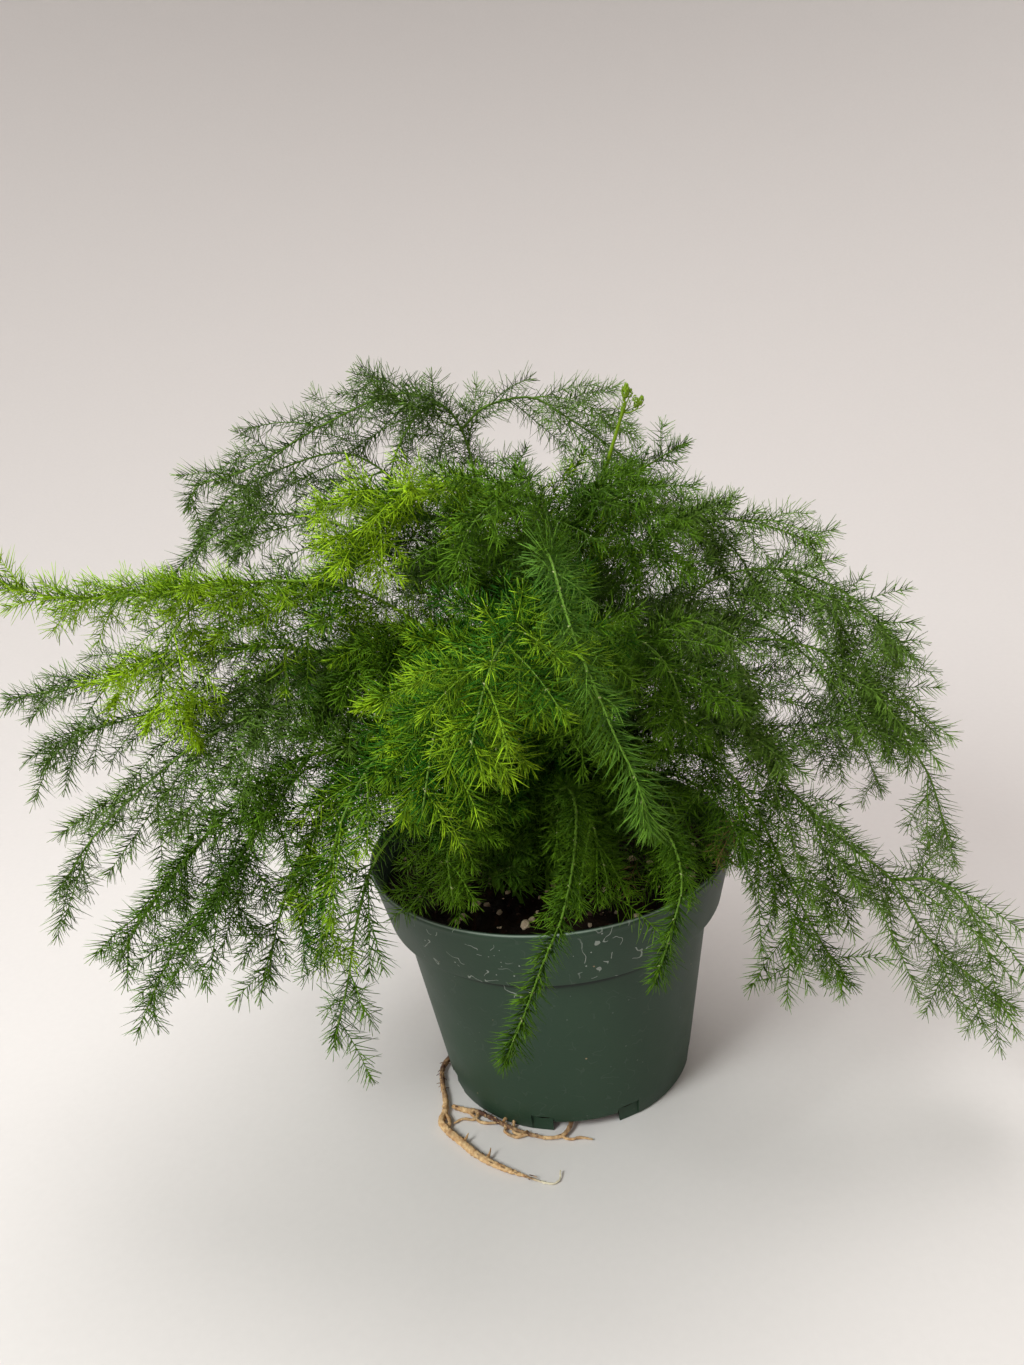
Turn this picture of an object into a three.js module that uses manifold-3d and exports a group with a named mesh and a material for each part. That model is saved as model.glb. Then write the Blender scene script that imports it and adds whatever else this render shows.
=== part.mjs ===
// Potted asparagus fern, in millimetres, +Z up.
// The origin is the centre of the pot's flat underside. The front of the plant looks towards -Y.
// The pot is a smooth nursery pot with a tall rim band and four drain slots round its foot.
// Thin arching stems rise from holes in the soil. Each frond is one solid: a stem with its forks,
// side twigs and needles fused to it.

import * as THREE from 'three';
import { mergeVertices } from 'three/addons/utils/BufferGeometryUtils.js';
import Module from 'manifold-3d';

const wasm = await Module();
wasm.setup();

// Driving dimensions of the pot
const POT_HEIGHT = 115;
const RIM_RADIUS = 82.5;
const BAND_HEIGHT = 27;
const BAND_FOOT_RADIUS = 76.7;
const BODY_TOP_RADIUS = 71;
const BASE_RADIUS = 58.3;
const WALL = 1.6;
const FLOOR = 2.2;
const POT_SIDES = 36;

// Drain slots cut through the corner of wall and floor, with a flat pad on both sides of each
const SLOT_COUNT = 4;
const SLOT_WIDTH = 29.5;
const SLOT_HEIGHT = 5.9;
const SLOT_INNER = 50;
const SLOT_TURN = THREE.MathUtils.degToRad(4.5);
const PAD_WIDTH = 10.5;
const PAD_HEIGHT = 8.5;
const PAD_DEPTH = 0.7;

// Soil
const GAP = 0.3;
const SOIL_TOP = 100;
const SOIL_CROWN = 5;
const SOIL_SIDES = 24;
const SOIL_RINGS = [0, 22, 44, 64];
const SOIL_CROWN_WIDTH = 30;
const SOIL_RELIEF = 0.9;
const HOLE_LENGTH = 26;
const HOLE_CLEARANCE = 0.35;

// Stems and forks
const STEM_RADIUS = 1.1;
const STEM_TIP_RADIUS = 0.6;
const STEM_SIDES = 3;
const STEM_STEP = 38;
const FORK_RADIUS = 0.9;
const FORK_BARE = 0.04;
const FORK_REACH = 0.8;

// Twigs: one place every TWIG_SPACING along the leafy stem, of which every TWIG_SHARE-th is built
// where it is long enough for a whorl of needles
const TWIG_RADIUS = 0.85;
const TWIG_TIP_RADIUS = 0.5;
const TWIG_SIDES = 3;
const TWIG_SPACING = 9;
const TWIG_SHARE = 7;
const TWIG_BARE = 0.3;
const SHORTEST_BUILT = 9;
const LAST_TWIG = 0.985;
const PLACE_JITTER = 0.4;
const ROLL_JITTER = 1.9;
const TWIG_LEAN = THREE.MathUtils.degToRad(42);
const TWIG_LEAN_JITTER = THREE.MathUtils.degToRad(22);
const SHORTEST = 0.7;
const LENGTH_JITTER = 0.5;
const DROOP = 0.16;
const DROOP_JITTER = 0.2;
const FOLLOW = 0.22;

// Needles, in whorls
const TIP_LENGTH = 6;
const WHORL_SPACING = 16;
const STEM_WHORL_SPACING = 34;
const WHORL_LENGTH = 1.1;
const WHORL_TURN = 0.5;
const NEEDLE_LENGTH = 8;
const NEEDLE_LENGTH_JITTER = 2;
const NEEDLE_LEAN = THREE.MathUtils.degToRad(48);
const NEEDLE_RADIUS = 0.45;
const NEEDLE_ROOT = 0.15;

// Clearances, and the other turns and lengths that a twig tries before it is left out
const CLEARANCE = 0.5;
const GROUND_CLEARANCE = 12;
const RIM_CLEARANCE = 2;
const SPACED_POINTS = 5;
const ROLL_TRIES = [0, 0.5, -0.5, 1, -1, 1.6, -1.6];
const LENGTH_TRIES = [1, 0.7];

const FIRST_SEED = 101;
const FROND_SEED_STEP = 37;
const FORK_SEED_STEP = 1009;

// Each frond: its green, the share of its stem that is bare, the length of its longest twigs,
// the route of its stem from its foot in the soil, and the routes of its forks.
const FRONDS = [
  {
    name: 'frond_arch_high', tone: 'dark', bare: 0.44, reach: 50,
    stem: [[0, 14, 88], [0, 30, 200], [-8, 48, 235], [-16, 58, 266], [-22, 62, 295], [-31, 60, 308],
      [-51, 54, 314], [-83, 48, 304], [-118, 42, 289], [-141, 40, 284], [-147, 38, 275]],
    forks: [
      [[-22, 62, 295], [-10, 66, 304], [11, 66, 306], [25, 64, 297], [43, 62, 283], [55, 60, 271],
        [65, 58, 252]],
      [[-31, 60, 308], [-42, 56, 303], [-53, 52, 287], [-59, 50, 268]],
    ],
  },
  {
    name: 'frond_arch_left', tone: 'dark', bare: 0.38, reach: 55,
    stem: [[-9, 20, 88], [-14, 40, 194], [-34, 62, 235], [-54, 72, 270], [-79, 72, 289],
      [-113, 66, 284], [-135, 58, 274], [-147, 50, 257]],
    forks: [],
  },
  {
    name: 'frond_left_upper', tone: 'dark', bare: 0.32, reach: 58,
    stem: [[-17, 10, 88], [-24, 22, 191], [-45, 28, 229], [-71, 31, 257], [-102, 30, 269],
      [-123, 26, 268], [-141, 20, 259], [-156, 14, 246]],
    forks: [],
  },
  {
    name: 'frond_left_bright', tone: 'bright', bare: 0.34, reach: 46,
    stem: [[-20, -3, 88], [-24, -8, 190], [-38, -15, 217], [-59, -20, 238], [-82, -26, 249],
      [-116, -32, 253], [-144, -36, 253], [-178, -38, 255], [-205, -40, 267]],
    forks: [[[-116, -32, 253], [-129, -40, 246], [-140, -46, 231], [-146, -50, 208]]],
  },
  {
    name: 'frond_left_far', tone: 'dark', bare: 0.28, reach: 56,
    stem: [[-27, 2, 88], [-34, 2, 165], [-62, 0, 197], [-94, -4, 215], [-131, -6, 219],
      [-175, -8, 212], [-202, -8, 210], [-225, -8, 208]],
    forks: [[[-94, -4, 215], [-124, -14, 203], [-161, -20, 199], [-190, -24, 194], [-210, -26, 182]]],
  },
  {
    name: 'frond_left_mid', tone: 'dark', bare: 0.28, reach: 56,
    stem: [[-26, -8, 88], [-34, -12, 151], [-58, -22, 186], [-91, -32, 202], [-127, -40, 196],
      [-157, -44, 179], [-184, -46, 158], [-203, -46, 136]],
    forks: [],
  },
  {
    name: 'frond_left_low', tone: 'mid', bare: 0.26, reach: 50,
    stem: [[-25, -16, 88], [-32, -22, 141], [-57, -40, 176], [-89, -56, 188], [-116, -66, 176],
      [-139, -72, 156], [-161, -74, 133], [-173, -74, 116]],
    forks: [[[-89, -56, 188], [-109, -72, 166], [-129, -82, 144], [-149, -84, 121], [-161, -84, 102]]],
  },
  {
    name: 'frond_left_hang', tone: 'mid', bare: 0.3, reach: 36,
    stem: [[-20, -21, 88], [-31, -30, 134], [-57, -52, 167], [-77, -70, 174], [-93, -82, 157],
      [-104, -86, 135], [-112, -88, 111]],
    forks: [],
  },
  {
    name: 'frond_front_left_hang', tone: 'mid', bare: 0.3, reach: 32,
    stem: [[-14, -25, 88], [-24, -38, 132], [-45, -64, 163], [-62, -88, 160], [-72, -98, 139],
      [-78, -102, 117], [-86, -104, 94]],
    forks: [],
  },
  {
    name: 'frond_front_left_bright', tone: 'bright', bare: 0.28, reach: 42,
    stem: [[-14, -14, 88], [-23, -24, 154], [-39, -52, 187], [-55, -76, 196], [-69, -92, 183],
      [-79, -98, 160], [-87, -102, 128]],
    forks: [],
  },
  {
    name: 'frond_front_bright', tone: 'bright', bare: 0.28, reach: 50,
    stem: [[-7, -18, 88], [-10, -28, 164], [-13, -58, 207], [-18, -86, 226], [-25, -108, 229],
      [-32, -124, 219], [-39, -132, 194]],
    forks: [],
  },
  {
    name: 'frond_front_crest', tone: 'bright', bare: 0.28, reach: 50,
    stem: [[0, -12, 88], [-3, -20, 171], [-2, -50, 216], [-1, -84, 239], [-8, -116, 243],
      [-14, -134, 237], [-22, -144, 214]],
    forks: [],
  },
  {
    name: 'frond_crest', tone: 'bright', bare: 0.38, reach: 44,
    stem: [[-6, 0, 88], [-4, 2, 209], [0, 0, 248], [-3, -3, 269], [-14, -10, 277], [-33, -20, 279],
      [-55, -28, 282], [-75, -34, 280]],
    forks: [[[-33, -20, 279], [-44, -30, 278], [-58, -40, 270], [-66, -46, 260]]],
  },
  {
    name: 'frond_crest_right', tone: 'mid', bare: 0.4, reach: 44,
    stem: [[4, 8, 88], [9, 6, 207], [14, 10, 245], [19, 8, 266], [31, 0, 271], [44, -10, 264],
      [53, -20, 251], [57, -26, 236]],
    forks: [],
  },
  {
    name: 'frond_front_blue', tone: 'cool', bare: 0.34, reach: 15,
    stem: [[2, -4, 88], [4, -12, 185], [8, -34, 232], [9, -58, 256], [10, -84, 259],
      [12, -104, 249], [15, -118, 238], [19, -128, 227], [23, -136, 215], [28, -140, 202],
      [31, -141, 186]],
    forks: [],
  },
  {
    name: 'frond_front_hang', tone: 'mid', bare: 0.3, reach: 7,
    stem: [[-4, -26, 88], [-1, -36, 127], [4, -46, 154], [9, -60, 166], [11, -74, 163],
      [8, -88, 149], [2, -102, 135], [-6, -114, 125], [-14, -122, 111], [-23, -128, 95]],
    forks: [],
  },
  {
    name: 'frond_front_right_hang', tone: 'mid', bare: 0.3, reach: 7,
    stem: [[7, -25, 88], [12, -36, 128], [27, -60, 154], [42, -82, 156], [46, -98, 144],
      [40, -106, 127], [33, -108, 108]],
    forks: [],
  },
  {
    name: 'frond_back_right_high', tone: 'mid', bare: 0.45, reach: 32,
    stem: [[11, 17, 88], [20, 24, 211], [35, 36, 243], [47, 41, 262], [59, 42, 272], [77, 40, 281]],
    forks: [],
  },
  {
    name: 'frond_right_top', tone: 'dark', bare: 0.3, reach: 52,
    stem: [[14, 8, 88], [20, 11, 187], [38, 17, 220], [58, 20, 244], [81, 19, 250], [104, 16, 246],
      [129, 14, 235]],
    forks: [],
  },
  {
    name: 'frond_right_high', tone: 'dark', bare: 0.3, reach: 56,
    stem: [[20, 2, 88], [24, 2, 170], [49, 7, 202], [80, 9, 225], [109, 6, 228], [134, 2, 217],
      [150, -2, 201], [157, -6, 184]],
    forks: [[[109, 6, 228], [129, 0, 209], [143, -6, 182], [148, -12, 165]]],
  },
  {
    name: 'frond_right_mid', tone: 'dark', bare: 0.28, reach: 54,
    stem: [[27, -3, 88], [30, -6, 157], [57, -9, 184], [88, -12, 203], [120, -16, 197],
      [144, -18, 180], [169, -20, 155]],
    forks: [[[120, -16, 197], [143, -22, 170], [161, -28, 143], [170, -30, 111]]],
  },
  {
    name: 'frond_right_low', tone: 'dark', bare: 0.24, reach: 52,
    stem: [[23, -11, 88], [26, -15, 150], [48, -24, 180], [69, -31, 188], [85, -36, 173],
      [99, -44, 148], [120, -54, 126], [135, -60, 112], [150, -68, 85], [181, -74, 56]],
    forks: [[[135, -60, 112], [152, -62, 111], [165, -64, 98], [174, -66, 75]]],
  },
  {
    name: 'frond_right_hang', tone: 'mid', bare: 0.28, reach: 40,
    stem: [[17, -17, 88], [22, -22, 143], [44, -38, 166], [66, -52, 169], [81, -62, 150],
      [92, -68, 121], [103, -72, 95], [115, -74, 74]],
    forks: [],
  },
  {
    name: 'frond_right_back', tone: 'dark', bare: 0.28, reach: 54,
    stem: [[21, 15, 88], [26, 22, 155], [56, 44, 181], [98, 60, 192], [134, 66, 171],
      [159, 66, 131], [174, 62, 92]],
    forks: [],
  },
  {
    name: 'frond_low_right', tone: 'mid', bare: 0.2, reach: 32,
    stem: [[12, -22, 88], [18, -28, 112], [31, -38, 130], [48, -46, 131], [62, -52, 121]],
    forks: [],
  },
  {
    name: 'frond_low_left', tone: 'mid', bare: 0.2, reach: 32,
    stem: [[-12, -31, 88], [-17, -38, 111], [-30, -48, 131], [-46, -60, 133], [-58, -70, 124]],
    forks: [],
  },
  {
    name: 'frond_back', tone: 'dark', bare: 0.3, reach: 56,
    stem: [[3, 24, 88], [4, 50, 180], [2, 92, 226], [-6, 124, 226], [-12, 150, 194]],
    forks: [],
  },
  {
    name: 'frond_back_left', tone: 'dark', bare: 0.3, reach: 54,
    stem: [[-14, 26, 88], [-34, 60, 165], [-70, 98, 196], [-104, 122, 176], [-124, 134, 136]],
    forks: [],
  },
  {
    name: 'frond_back_right', tone: 'dark', bare: 0.3, reach: 54,
    stem: [[14, 27, 88], [30, 62, 165], [60, 100, 196], [88, 126, 172], [102, 138, 132]],
    forks: [],
  },
  {
    name: 'frond_left_back', tone: 'dark', bare: 0.3, reach: 54,
    stem: [[-23, 16, 88], [-48, 40, 160], [-94, 62, 196], [-138, 72, 176], [-166, 74, 132]],
    forks: [],
  },
  {
    name: 'frond_low_front', tone: 'mid', bare: 0.3, reach: 26,
    stem: [[1, -29, 88], [4, -38, 144], [11, -50, 156], [17, -60, 150], [20, -66, 136],
      [22, -70, 120]],
    forks: [[[17, -60, 150], [13, -66, 138], [9, -71, 122]]],
  },
  {
    name: 'frond_low_front_left', tone: 'mid', bare: 0.3, reach: 30,
    stem: [[-8, -27, 88], [-16, -38, 157], [-25, -51, 170], [-34, -65, 167], [-39, -74, 150],
      [-39, -78, 131]],
    forks: [],
  },
  {
    name: 'frond_low_front_right', tone: 'mid', bare: 0.3, reach: 32,
    stem: [[14, -28, 88], [23, -34, 151], [38, -44, 163], [49, -52, 154], [52, -57, 136],
      [48, -60, 119]],
    forks: [],
  },
  {
    name: 'frond_low_right_side', tone: 'mid', bare: 0.3, reach: 34,
    stem: [[26, -18, 88], [33, -20, 139], [53, -26, 152], [70, -30, 140], [82, -32, 116]],
    forks: [],
  },
  {
    name: 'frond_inner_left_bright', tone: 'bright', bare: 0.3, reach: 42,
    stem: [[-12, -6, 88], [-15, -24, 192], [-26, -52, 221], [-39, -74, 219], [-48, -84, 199]],
    forks: [],
  },
  {
    name: 'frond_inner_front_bright', tone: 'bright', bare: 0.3, reach: 44,
    stem: [[-1, -19, 88], [4, -34, 192], [2, -66, 226], [-9, -92, 224], [-18, -102, 203]],
    forks: [],
  },
  {
    name: 'frond_inner_front', tone: 'mid', bare: 0.3, reach: 44,
    stem: [[6, -17, 88], [10, -34, 193], [16, -64, 226], [18, -88, 224], [13, -100, 201]],
    forks: [],
  },
  {
    name: 'frond_inner_right', tone: 'mid', bare: 0.3, reach: 44,
    stem: [[11, -10, 88], [23, -20, 186], [38, -46, 218], [50, -64, 211], [55, -72, 186]],
    forks: [],
  },
  {
    name: 'frond_inner_far_right', tone: 'dark', bare: 0.3, reach: 46,
    stem: [[20, -6, 88], [33, -8, 186], [57, -20, 218], [77, -32, 210], [90, -38, 182]],
    forks: [],
  },
  {
    name: 'frond_inner_far_left', tone: 'mid', bare: 0.3, reach: 46,
    stem: [[-19, -15, 88], [-24, -14, 189], [-45, -26, 221], [-69, -38, 219], [-87, -44, 196]],
    forks: [],
  },
  {
    name: 'frond_inner_low_right', tone: 'dark', bare: 0.28, reach: 44,
    stem: [[28, -12, 88], [36, -12, 154], [63, -24, 179], [87, -32, 166], [101, -36, 137]],
    forks: [],
  },
  {
    name: 'frond_inner_low_left', tone: 'mid', bare: 0.28, reach: 44,
    stem: [[-24, -20, 88], [-30, -26, 163], [-50, -44, 192], [-74, -54, 183], [-91, -58, 159]],
    forks: [],
  },
  {
    name: 'frond_crest_left', tone: 'mid', bare: 0.4, reach: 42,
    stem: [[-11, 4, 88], [-7, 2, 227], [-20, -6, 260], [-45, -12, 268], [-70, -14, 257],
      [-84, -14, 239]],
    forks: [],
  },
  {
    name: 'frond_crest_front', tone: 'mid', bare: 0.38, reach: 44,
    stem: [[0, 5, 88], [8, 2, 226], [12, -10, 262], [2, -34, 277], [-15, -54, 272], [-26, -62, 254]],
    forks: [],
  },
  {
    name: 'frond_crest_back', tone: 'dark', bare: 0.4, reach: 46,
    stem: [[8, 13, 88], [25, 17, 216], [45, 25, 250], [69, 31, 254], [95, 35, 234], [109, 36, 207]],
    forks: [],
  },
  {
    name: 'frond_back_middle', tone: 'dark', bare: 0.34, reach: 50,
    stem: [[-5, 24, 88], [-4, 46, 206], [-10, 72, 236], [-33, 92, 239], [-60, 102, 219]],
    forks: [],
  },
];

// The young shoot: a bare spear with a head of folded buds
const SHOOT_ROUTE = [[-3, 12, 88], [2, 8, 150], [22, 14, 230], [49, 18, 302]];
const SHOOT_RADIUS = 1.3;
const SHOOT_TIP_RADIUS = 0.9;
const SHOOT_SIDES = 6;
const SHOOT_STEP = 22;
// Each bud: its centre from the top of the spear, its direction, its half length and half width
const BUDS = [
  { at: [0, 0, 3], lean: [0.1, 0, 1], long: 6, wide: 2.2 },
  { at: [4.5, -1, 0], lean: [0.7, -0.2, 0.7], long: 5, wide: 2 },
  { at: [-3, 1, -1], lean: [-0.4, 0.2, 0.9], long: 4, wide: 1.6 },
  { at: [2, 3, -2], lean: [0.3, 0.8, 0.6], long: 4, wide: 1.6 },
  { at: [7.5, 0, -4.5], lean: [0.9, 0.1, 0.3], long: 4, wide: 1.7 },
];
const BUD_SIDES = 5;
const BUD_RINGS = 4;
const BUD_REACH = 9;

// Roots that leave two of the drain slots and lie on the surface, as centre line and radius
const LONG_ROOT = {
  line: [[-50.8, -4, 3], [-58, -5, 2.7], [-62, -11, 1.9], [-61.6, -22, 1.7], [-59.6, -33, 1.7],
    [-59.4, -41, 1.8], [-60.8, -47, 1.8], [-58, -52.5, 1.7], [-52.6, -59, 1.7], [-43.5, -69.5, 1.7],
    [-33, -77.5, 1.5], [-22, -83.5, 1.2], [-13.5, -87.5, 0.9], [-9.6, -86, 0.9], [-8.8, -81.5, 1.6]],
  radius: 1.5,
  tip: 0.5,
};
const ROOT_SPURS = [
  { line: [[-50.5, -61.5, 1.8], [-49.2, -59.9, 2.8], [-48, -58.2, 3.8]], radius: 0.6, tip: 0.3 },
  { line: [[-40, -72.2, 1.7], [-38.6, -70, 2.8], [-38, -68, 3.8]], radius: 0.6, tip: 0.3 },
  {
    line: [[-59.4, -42, 1.8], [-57.2, -46.5, 1.7], [-57, -50, 1.7], [-57.8, -53.5, 1.7]],
    radius: 0.7,
    tip: 0.6,
  },
];
const TANGLE = [
  {
    line: [[-2, -50.8, 3], [-3, -57.5, 2.6], [-7, -62, 1.6], [-14, -62.3, 1.5], [-22, -59, 1.5],
      [-31, -53.4, 1.6], [-43.6, -43.2, 1.5], [-50, -41, 1.4], [-56, -37.5, 1.2]],
    radius: 1.2,
    tip: 0.5,
  },
  { line: [[-22, -59, 1.5], [-27, -60, 1.2], [-32, -56.5, 1.3], [-31, -53.4, 1.6]], radius: 0.8, tip: 0.6 },
  { line: [[-7, -62, 1.6], [-4, -64, 1.1], [1, -63.4, 1], [6, -65, 1]], radius: 0.7, tip: 0.4 },
  { line: [[-43.6, -43.2, 1.5], [-46, -47, 1.2], [-51, -46, 1.1], [-55, -48, 1]], radius: 0.7, tip: 0.4 },
];
const ROOT_SIDES = 5;
const ROOT_STEP = 9;

const COLOURS = {
  dark: 0x2f5a2c,
  mid: 0x3f7a2a,
  bright: 0x7fae1e,
  cool: 0x2f6b45,
  shoot: 0x9ab83a,
  pot: 0x33463a,
  soil: 0x2b1d16,
  root: 0xa97c4a,
};

// A seeded stream of numbers from 0 to 1
function drawFrom(seed) {
  const multiplier = 1664525;
  const increment = 1013904223;
  const span = 2 ** 32;
  let state = seed;
  return () => {
    state = (state * multiplier + increment) % span;
    return state / span;
  };
}

function vector([x, y, z]) {
  return new THREE.Vector3(x, y, z);
}

function curveThrough(points) {
  return new THREE.CatmullRomCurve3(points.map(vector), false, 'catmullrom', 0.5);
}

// Solids

function solid(geometry) {
  geometry.deleteAttribute('normal');
  geometry.deleteAttribute('uv');
  const welded = mergeVertices(geometry, 1e-4);
  const mesh = new wasm.Mesh({
    numProp: 3,
    vertProperties: new Float32Array(welded.attributes.position.array),
    triVerts: new Uint32Array(welded.index.array),
  });
  return new wasm.Manifold(mesh);
}

// The largest body of a solid, without loose scraps and with sealed hollows filled
function largestBody(manifold) {
  const bodies = manifold.decompose();
  return bodies.reduce((best, body) => (body.volume() > best.volume() ? body : best));
}

function join(solids) {
  return largestBody(solids.reduce((whole, piece) => whole.add(piece)));
}

function meshOf(name, manifold, colour, roughness) {
  const { vertProperties, triVerts } = manifold.getMesh();
  const geometry = new THREE.BufferGeometry();
  geometry.setAttribute('position', new THREE.BufferAttribute(new Float32Array(vertProperties), 3));
  geometry.setIndex(new THREE.BufferAttribute(new Uint32Array(triVerts), 1));
  const material = new THREE.MeshStandardMaterial({ color: colour, roughness, metalness: 0 });
  const mesh = new THREE.Mesh(geometry, material);
  mesh.name = name;
  return mesh;
}

// Frames carried along a line of points without twist
function framesAlong(points) {
  const frames = [];
  let across = new THREE.Vector3();
  points.forEach((point, i) => {
    const before = points[Math.max(i - 1, 0)];
    const after = points[Math.min(i + 1, points.length - 1)];
    const along = after.clone().sub(before).normalize();
    if (i === 0) {
      across.set(0, 0, 1).cross(along);
      if (across.lengthSq() < 0.01) across.set(1, 0, 0);
    }
    across = across.clone().addScaledVector(along, -across.dot(along)).normalize();
    frames.push({ point, along, across, over: along.clone().cross(across) });
  });
  return frames;
}

// A closed tapered tube round a curve. stations holds the share of the curve's length, the radius
// and the turn of each ring. needles holds the tip of a needle for a ring and a side: that side
// of the band above the ring is drawn out to the tip.
function tube(curve, stations, sides, needles = []) {
  const pointed = stations.at(-1).radius === 0;
  const geometry = new THREE.CylinderGeometry(pointed ? 0 : 1, 1, 1, sides, stations.length - 1);
  const frames = framesAlong(stations.map(({ share }) => curve.getPointAt(share)));
  const position = geometry.attributes.position;
  for (let i = 0; i < position.count; i += 1) {
    const x = position.getX(i);
    const z = position.getZ(i);
    const ring = Math.round((position.getY(i) + 0.5) * (stations.length - 1));
    const { point, across, over } = frames[ring];
    const { radius, turn } = stations[ring];
    const angle = Math.atan2(x, z) + turn;
    const reach = Math.hypot(x, z) > 1e-6 ? radius : 0;
    const place = point.clone()
      .addScaledVector(across, Math.cos(angle) * reach)
      .addScaledVector(over, Math.sin(angle) * reach);
    position.setXYZ(i, place.x, place.y, place.z);
  }
  if (needles.length) drawOut(geometry, stations.length, sides, needles);
  return geometry;
}

// Replace the two triangles of each named band face by the four sides of a needle
function drawOut(geometry, ringCount, sides, needles) {
  const old = Array.from(geometry.index.array);
  const places = Array.from(geometry.attributes.position.array);
  const columns = sides + 1;
  const index = [];
  const tips = new Map(needles.map(({ ring, side, tip }) => [`${ring} ${side}`, tip]));
  for (let i = 0; i < old.length; i += 3) {
    const corners = old.slice(i, i + 3);
    if (Math.max(...corners) >= ringCount * columns) {
      index.push(...corners);
      continue;
    }
    const ring = ringCount - 1 - Math.max(...corners.map((v) => Math.floor(v / columns)));
    const side = Math.min(...corners.map((v) => v % columns));
    if (!tips.has(`${ring} ${side}`)) index.push(...corners);
  }
  needles.forEach(({ ring, side, tip }) => {
    const upper = (ringCount - 2 - ring) * columns + side;
    const lower = upper + columns;
    const apex = places.length / 3;
    places.push(tip.x, tip.y, tip.z);
    const around = [upper, lower, lower + 1, upper + 1];
    around.forEach((corner, k) => index.push(corner, around[(k + 1) % 4], apex));
  });
  geometry.deleteAttribute('normal');
  geometry.deleteAttribute('uv');
  geometry.setAttribute('position', new THREE.Float32BufferAttribute(places, 3));
  geometry.setIndex(index);
}

// The point of a line of straight stretches that is nearest to a place
function nearestOn(line, place) {
  const nearest = line.slice(1).map((end, i) => (
    new THREE.Line3(line[i], end).closestPointToPoint(place, true, new THREE.Vector3())
  ));
  return nearest.reduce((best, point) => (
    point.distanceTo(place) < best.distanceTo(place) ? point : best
  ));
}

function plainStations(curve, step, from, to, turn = 0) {
  const count = Math.max(2, Math.ceil(curve.getLength() / step));
  return Array.from({ length: count + 1 }, (_, i) => {
    const share = i / count;
    return { share, radius: THREE.MathUtils.lerp(from, to, share), turn };
  });
}

// Clearance between thin pieces

function segmentDistance(p, q, a, b) {
  const d1 = q.clone().sub(p);
  const d2 = b.clone().sub(a);
  const r = p.clone().sub(a);
  const e = d1.lengthSq();
  const f = d2.lengthSq();
  const g = d1.dot(d2);
  const c = d1.dot(r);
  const h = d2.dot(r);
  const det = e * f - g * g;
  let s = det > 1e-9 ? THREE.MathUtils.clamp((g * h - c * f) / det, 0, 1) : 0;
  const t = THREE.MathUtils.clamp((g * s + h) / f, 0, 1);
  s = THREE.MathUtils.clamp((g * t - c) / e, 0, 1);
  return p.clone().addScaledVector(d1, s).distanceTo(a.clone().addScaledVector(d2, t));
}

// Every stretch placed so far, with its radius and the pieces that it belongs to
const taken = [];

function stretches(points, radius, owner) {
  return points.slice(1).map((point, i) => ({
    from: points[i],
    to: point,
    middle: points[i].clone().add(point).multiplyScalar(0.5),
    half: points[i].distanceTo(point) / 2,
    radius,
    owner,
  }));
}

function inTheOpen({ x, y, z }) {
  const r = Math.hypot(x, y);
  if (z > POT_HEIGHT + RIM_CLEARANCE) return true;
  if (r > RIM_RADIUS + RIM_CLEARANCE) return z > GROUND_CLEARANCE;
  return r < BODY_TOP_RADIUS && z > SOIL_TOP + SOIL_CROWN + RIM_CLEARANCE;
}

function isClear(pieces, ignored) {
  return pieces.every((piece) => inTheOpen(piece.from) && inTheOpen(piece.to)
    && taken.every((other) => {
      if (ignored.includes(other.owner)) return true;
      const needed = piece.radius + other.radius + CLEARANCE;
      const apart = piece.middle.distanceTo(other.middle) - piece.half - other.half;
      return apart > needed || segmentDistance(piece.from, piece.to, other.from, other.to) > needed;
    }));
}

// The growth rule

// How long twigs are along a stem: short near both ends, longest before the middle
function fullness(share) {
  return Math.min(1, 0.45 + 1.9 * share) * (1 - share) ** 0.62 * 1.15 + 0.1;
}

// A twig leaves its stem at an angle, then bends a little along the stem and droops
function twigCurve({ start, along, roll, lean, length, droop }) {
  const up = new THREE.Vector3(0, 0, 1);
  const side = along.clone().cross(up);
  if (side.length() < 0.2) side.set(1, 0, 0);
  side.normalize();
  const over = side.clone().cross(along);
  const out = side.multiplyScalar(Math.cos(roll)).addScaledVector(over, Math.sin(roll));
  const first = along.clone().multiplyScalar(Math.cos(lean)).addScaledVector(out, Math.sin(lean));
  const bend = along.clone().multiplyScalar(FOLLOW).addScaledVector(up, -droop);
  const middle = start.clone().addScaledVector(first, length / 2);
  const end = start.clone().addScaledVector(first, length).addScaledVector(bend, length);
  return new THREE.QuadraticBezierCurve3(start, middle, end);
}

function firstClearTwig(twig, axis) {
  for (const shorter of LENGTH_TRIES) {
    for (const turn of ROLL_TRIES) {
      const curve = twigCurve({ ...twig, roll: twig.roll + turn, length: twig.length * shorter });
      const points = curve.getSpacedPoints(SPACED_POINTS).slice(1);
      const owner = `${axis.owner} twig ${twig.number}`;
      const pieces = stretches(points, TWIG_RADIUS, owner);
      if (isClear(pieces, [axis.owner])) {
        taken.push(...pieces);
        return { curve, owner, seed: twig.seed };
      }
    }
  }
  return null;
}

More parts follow.
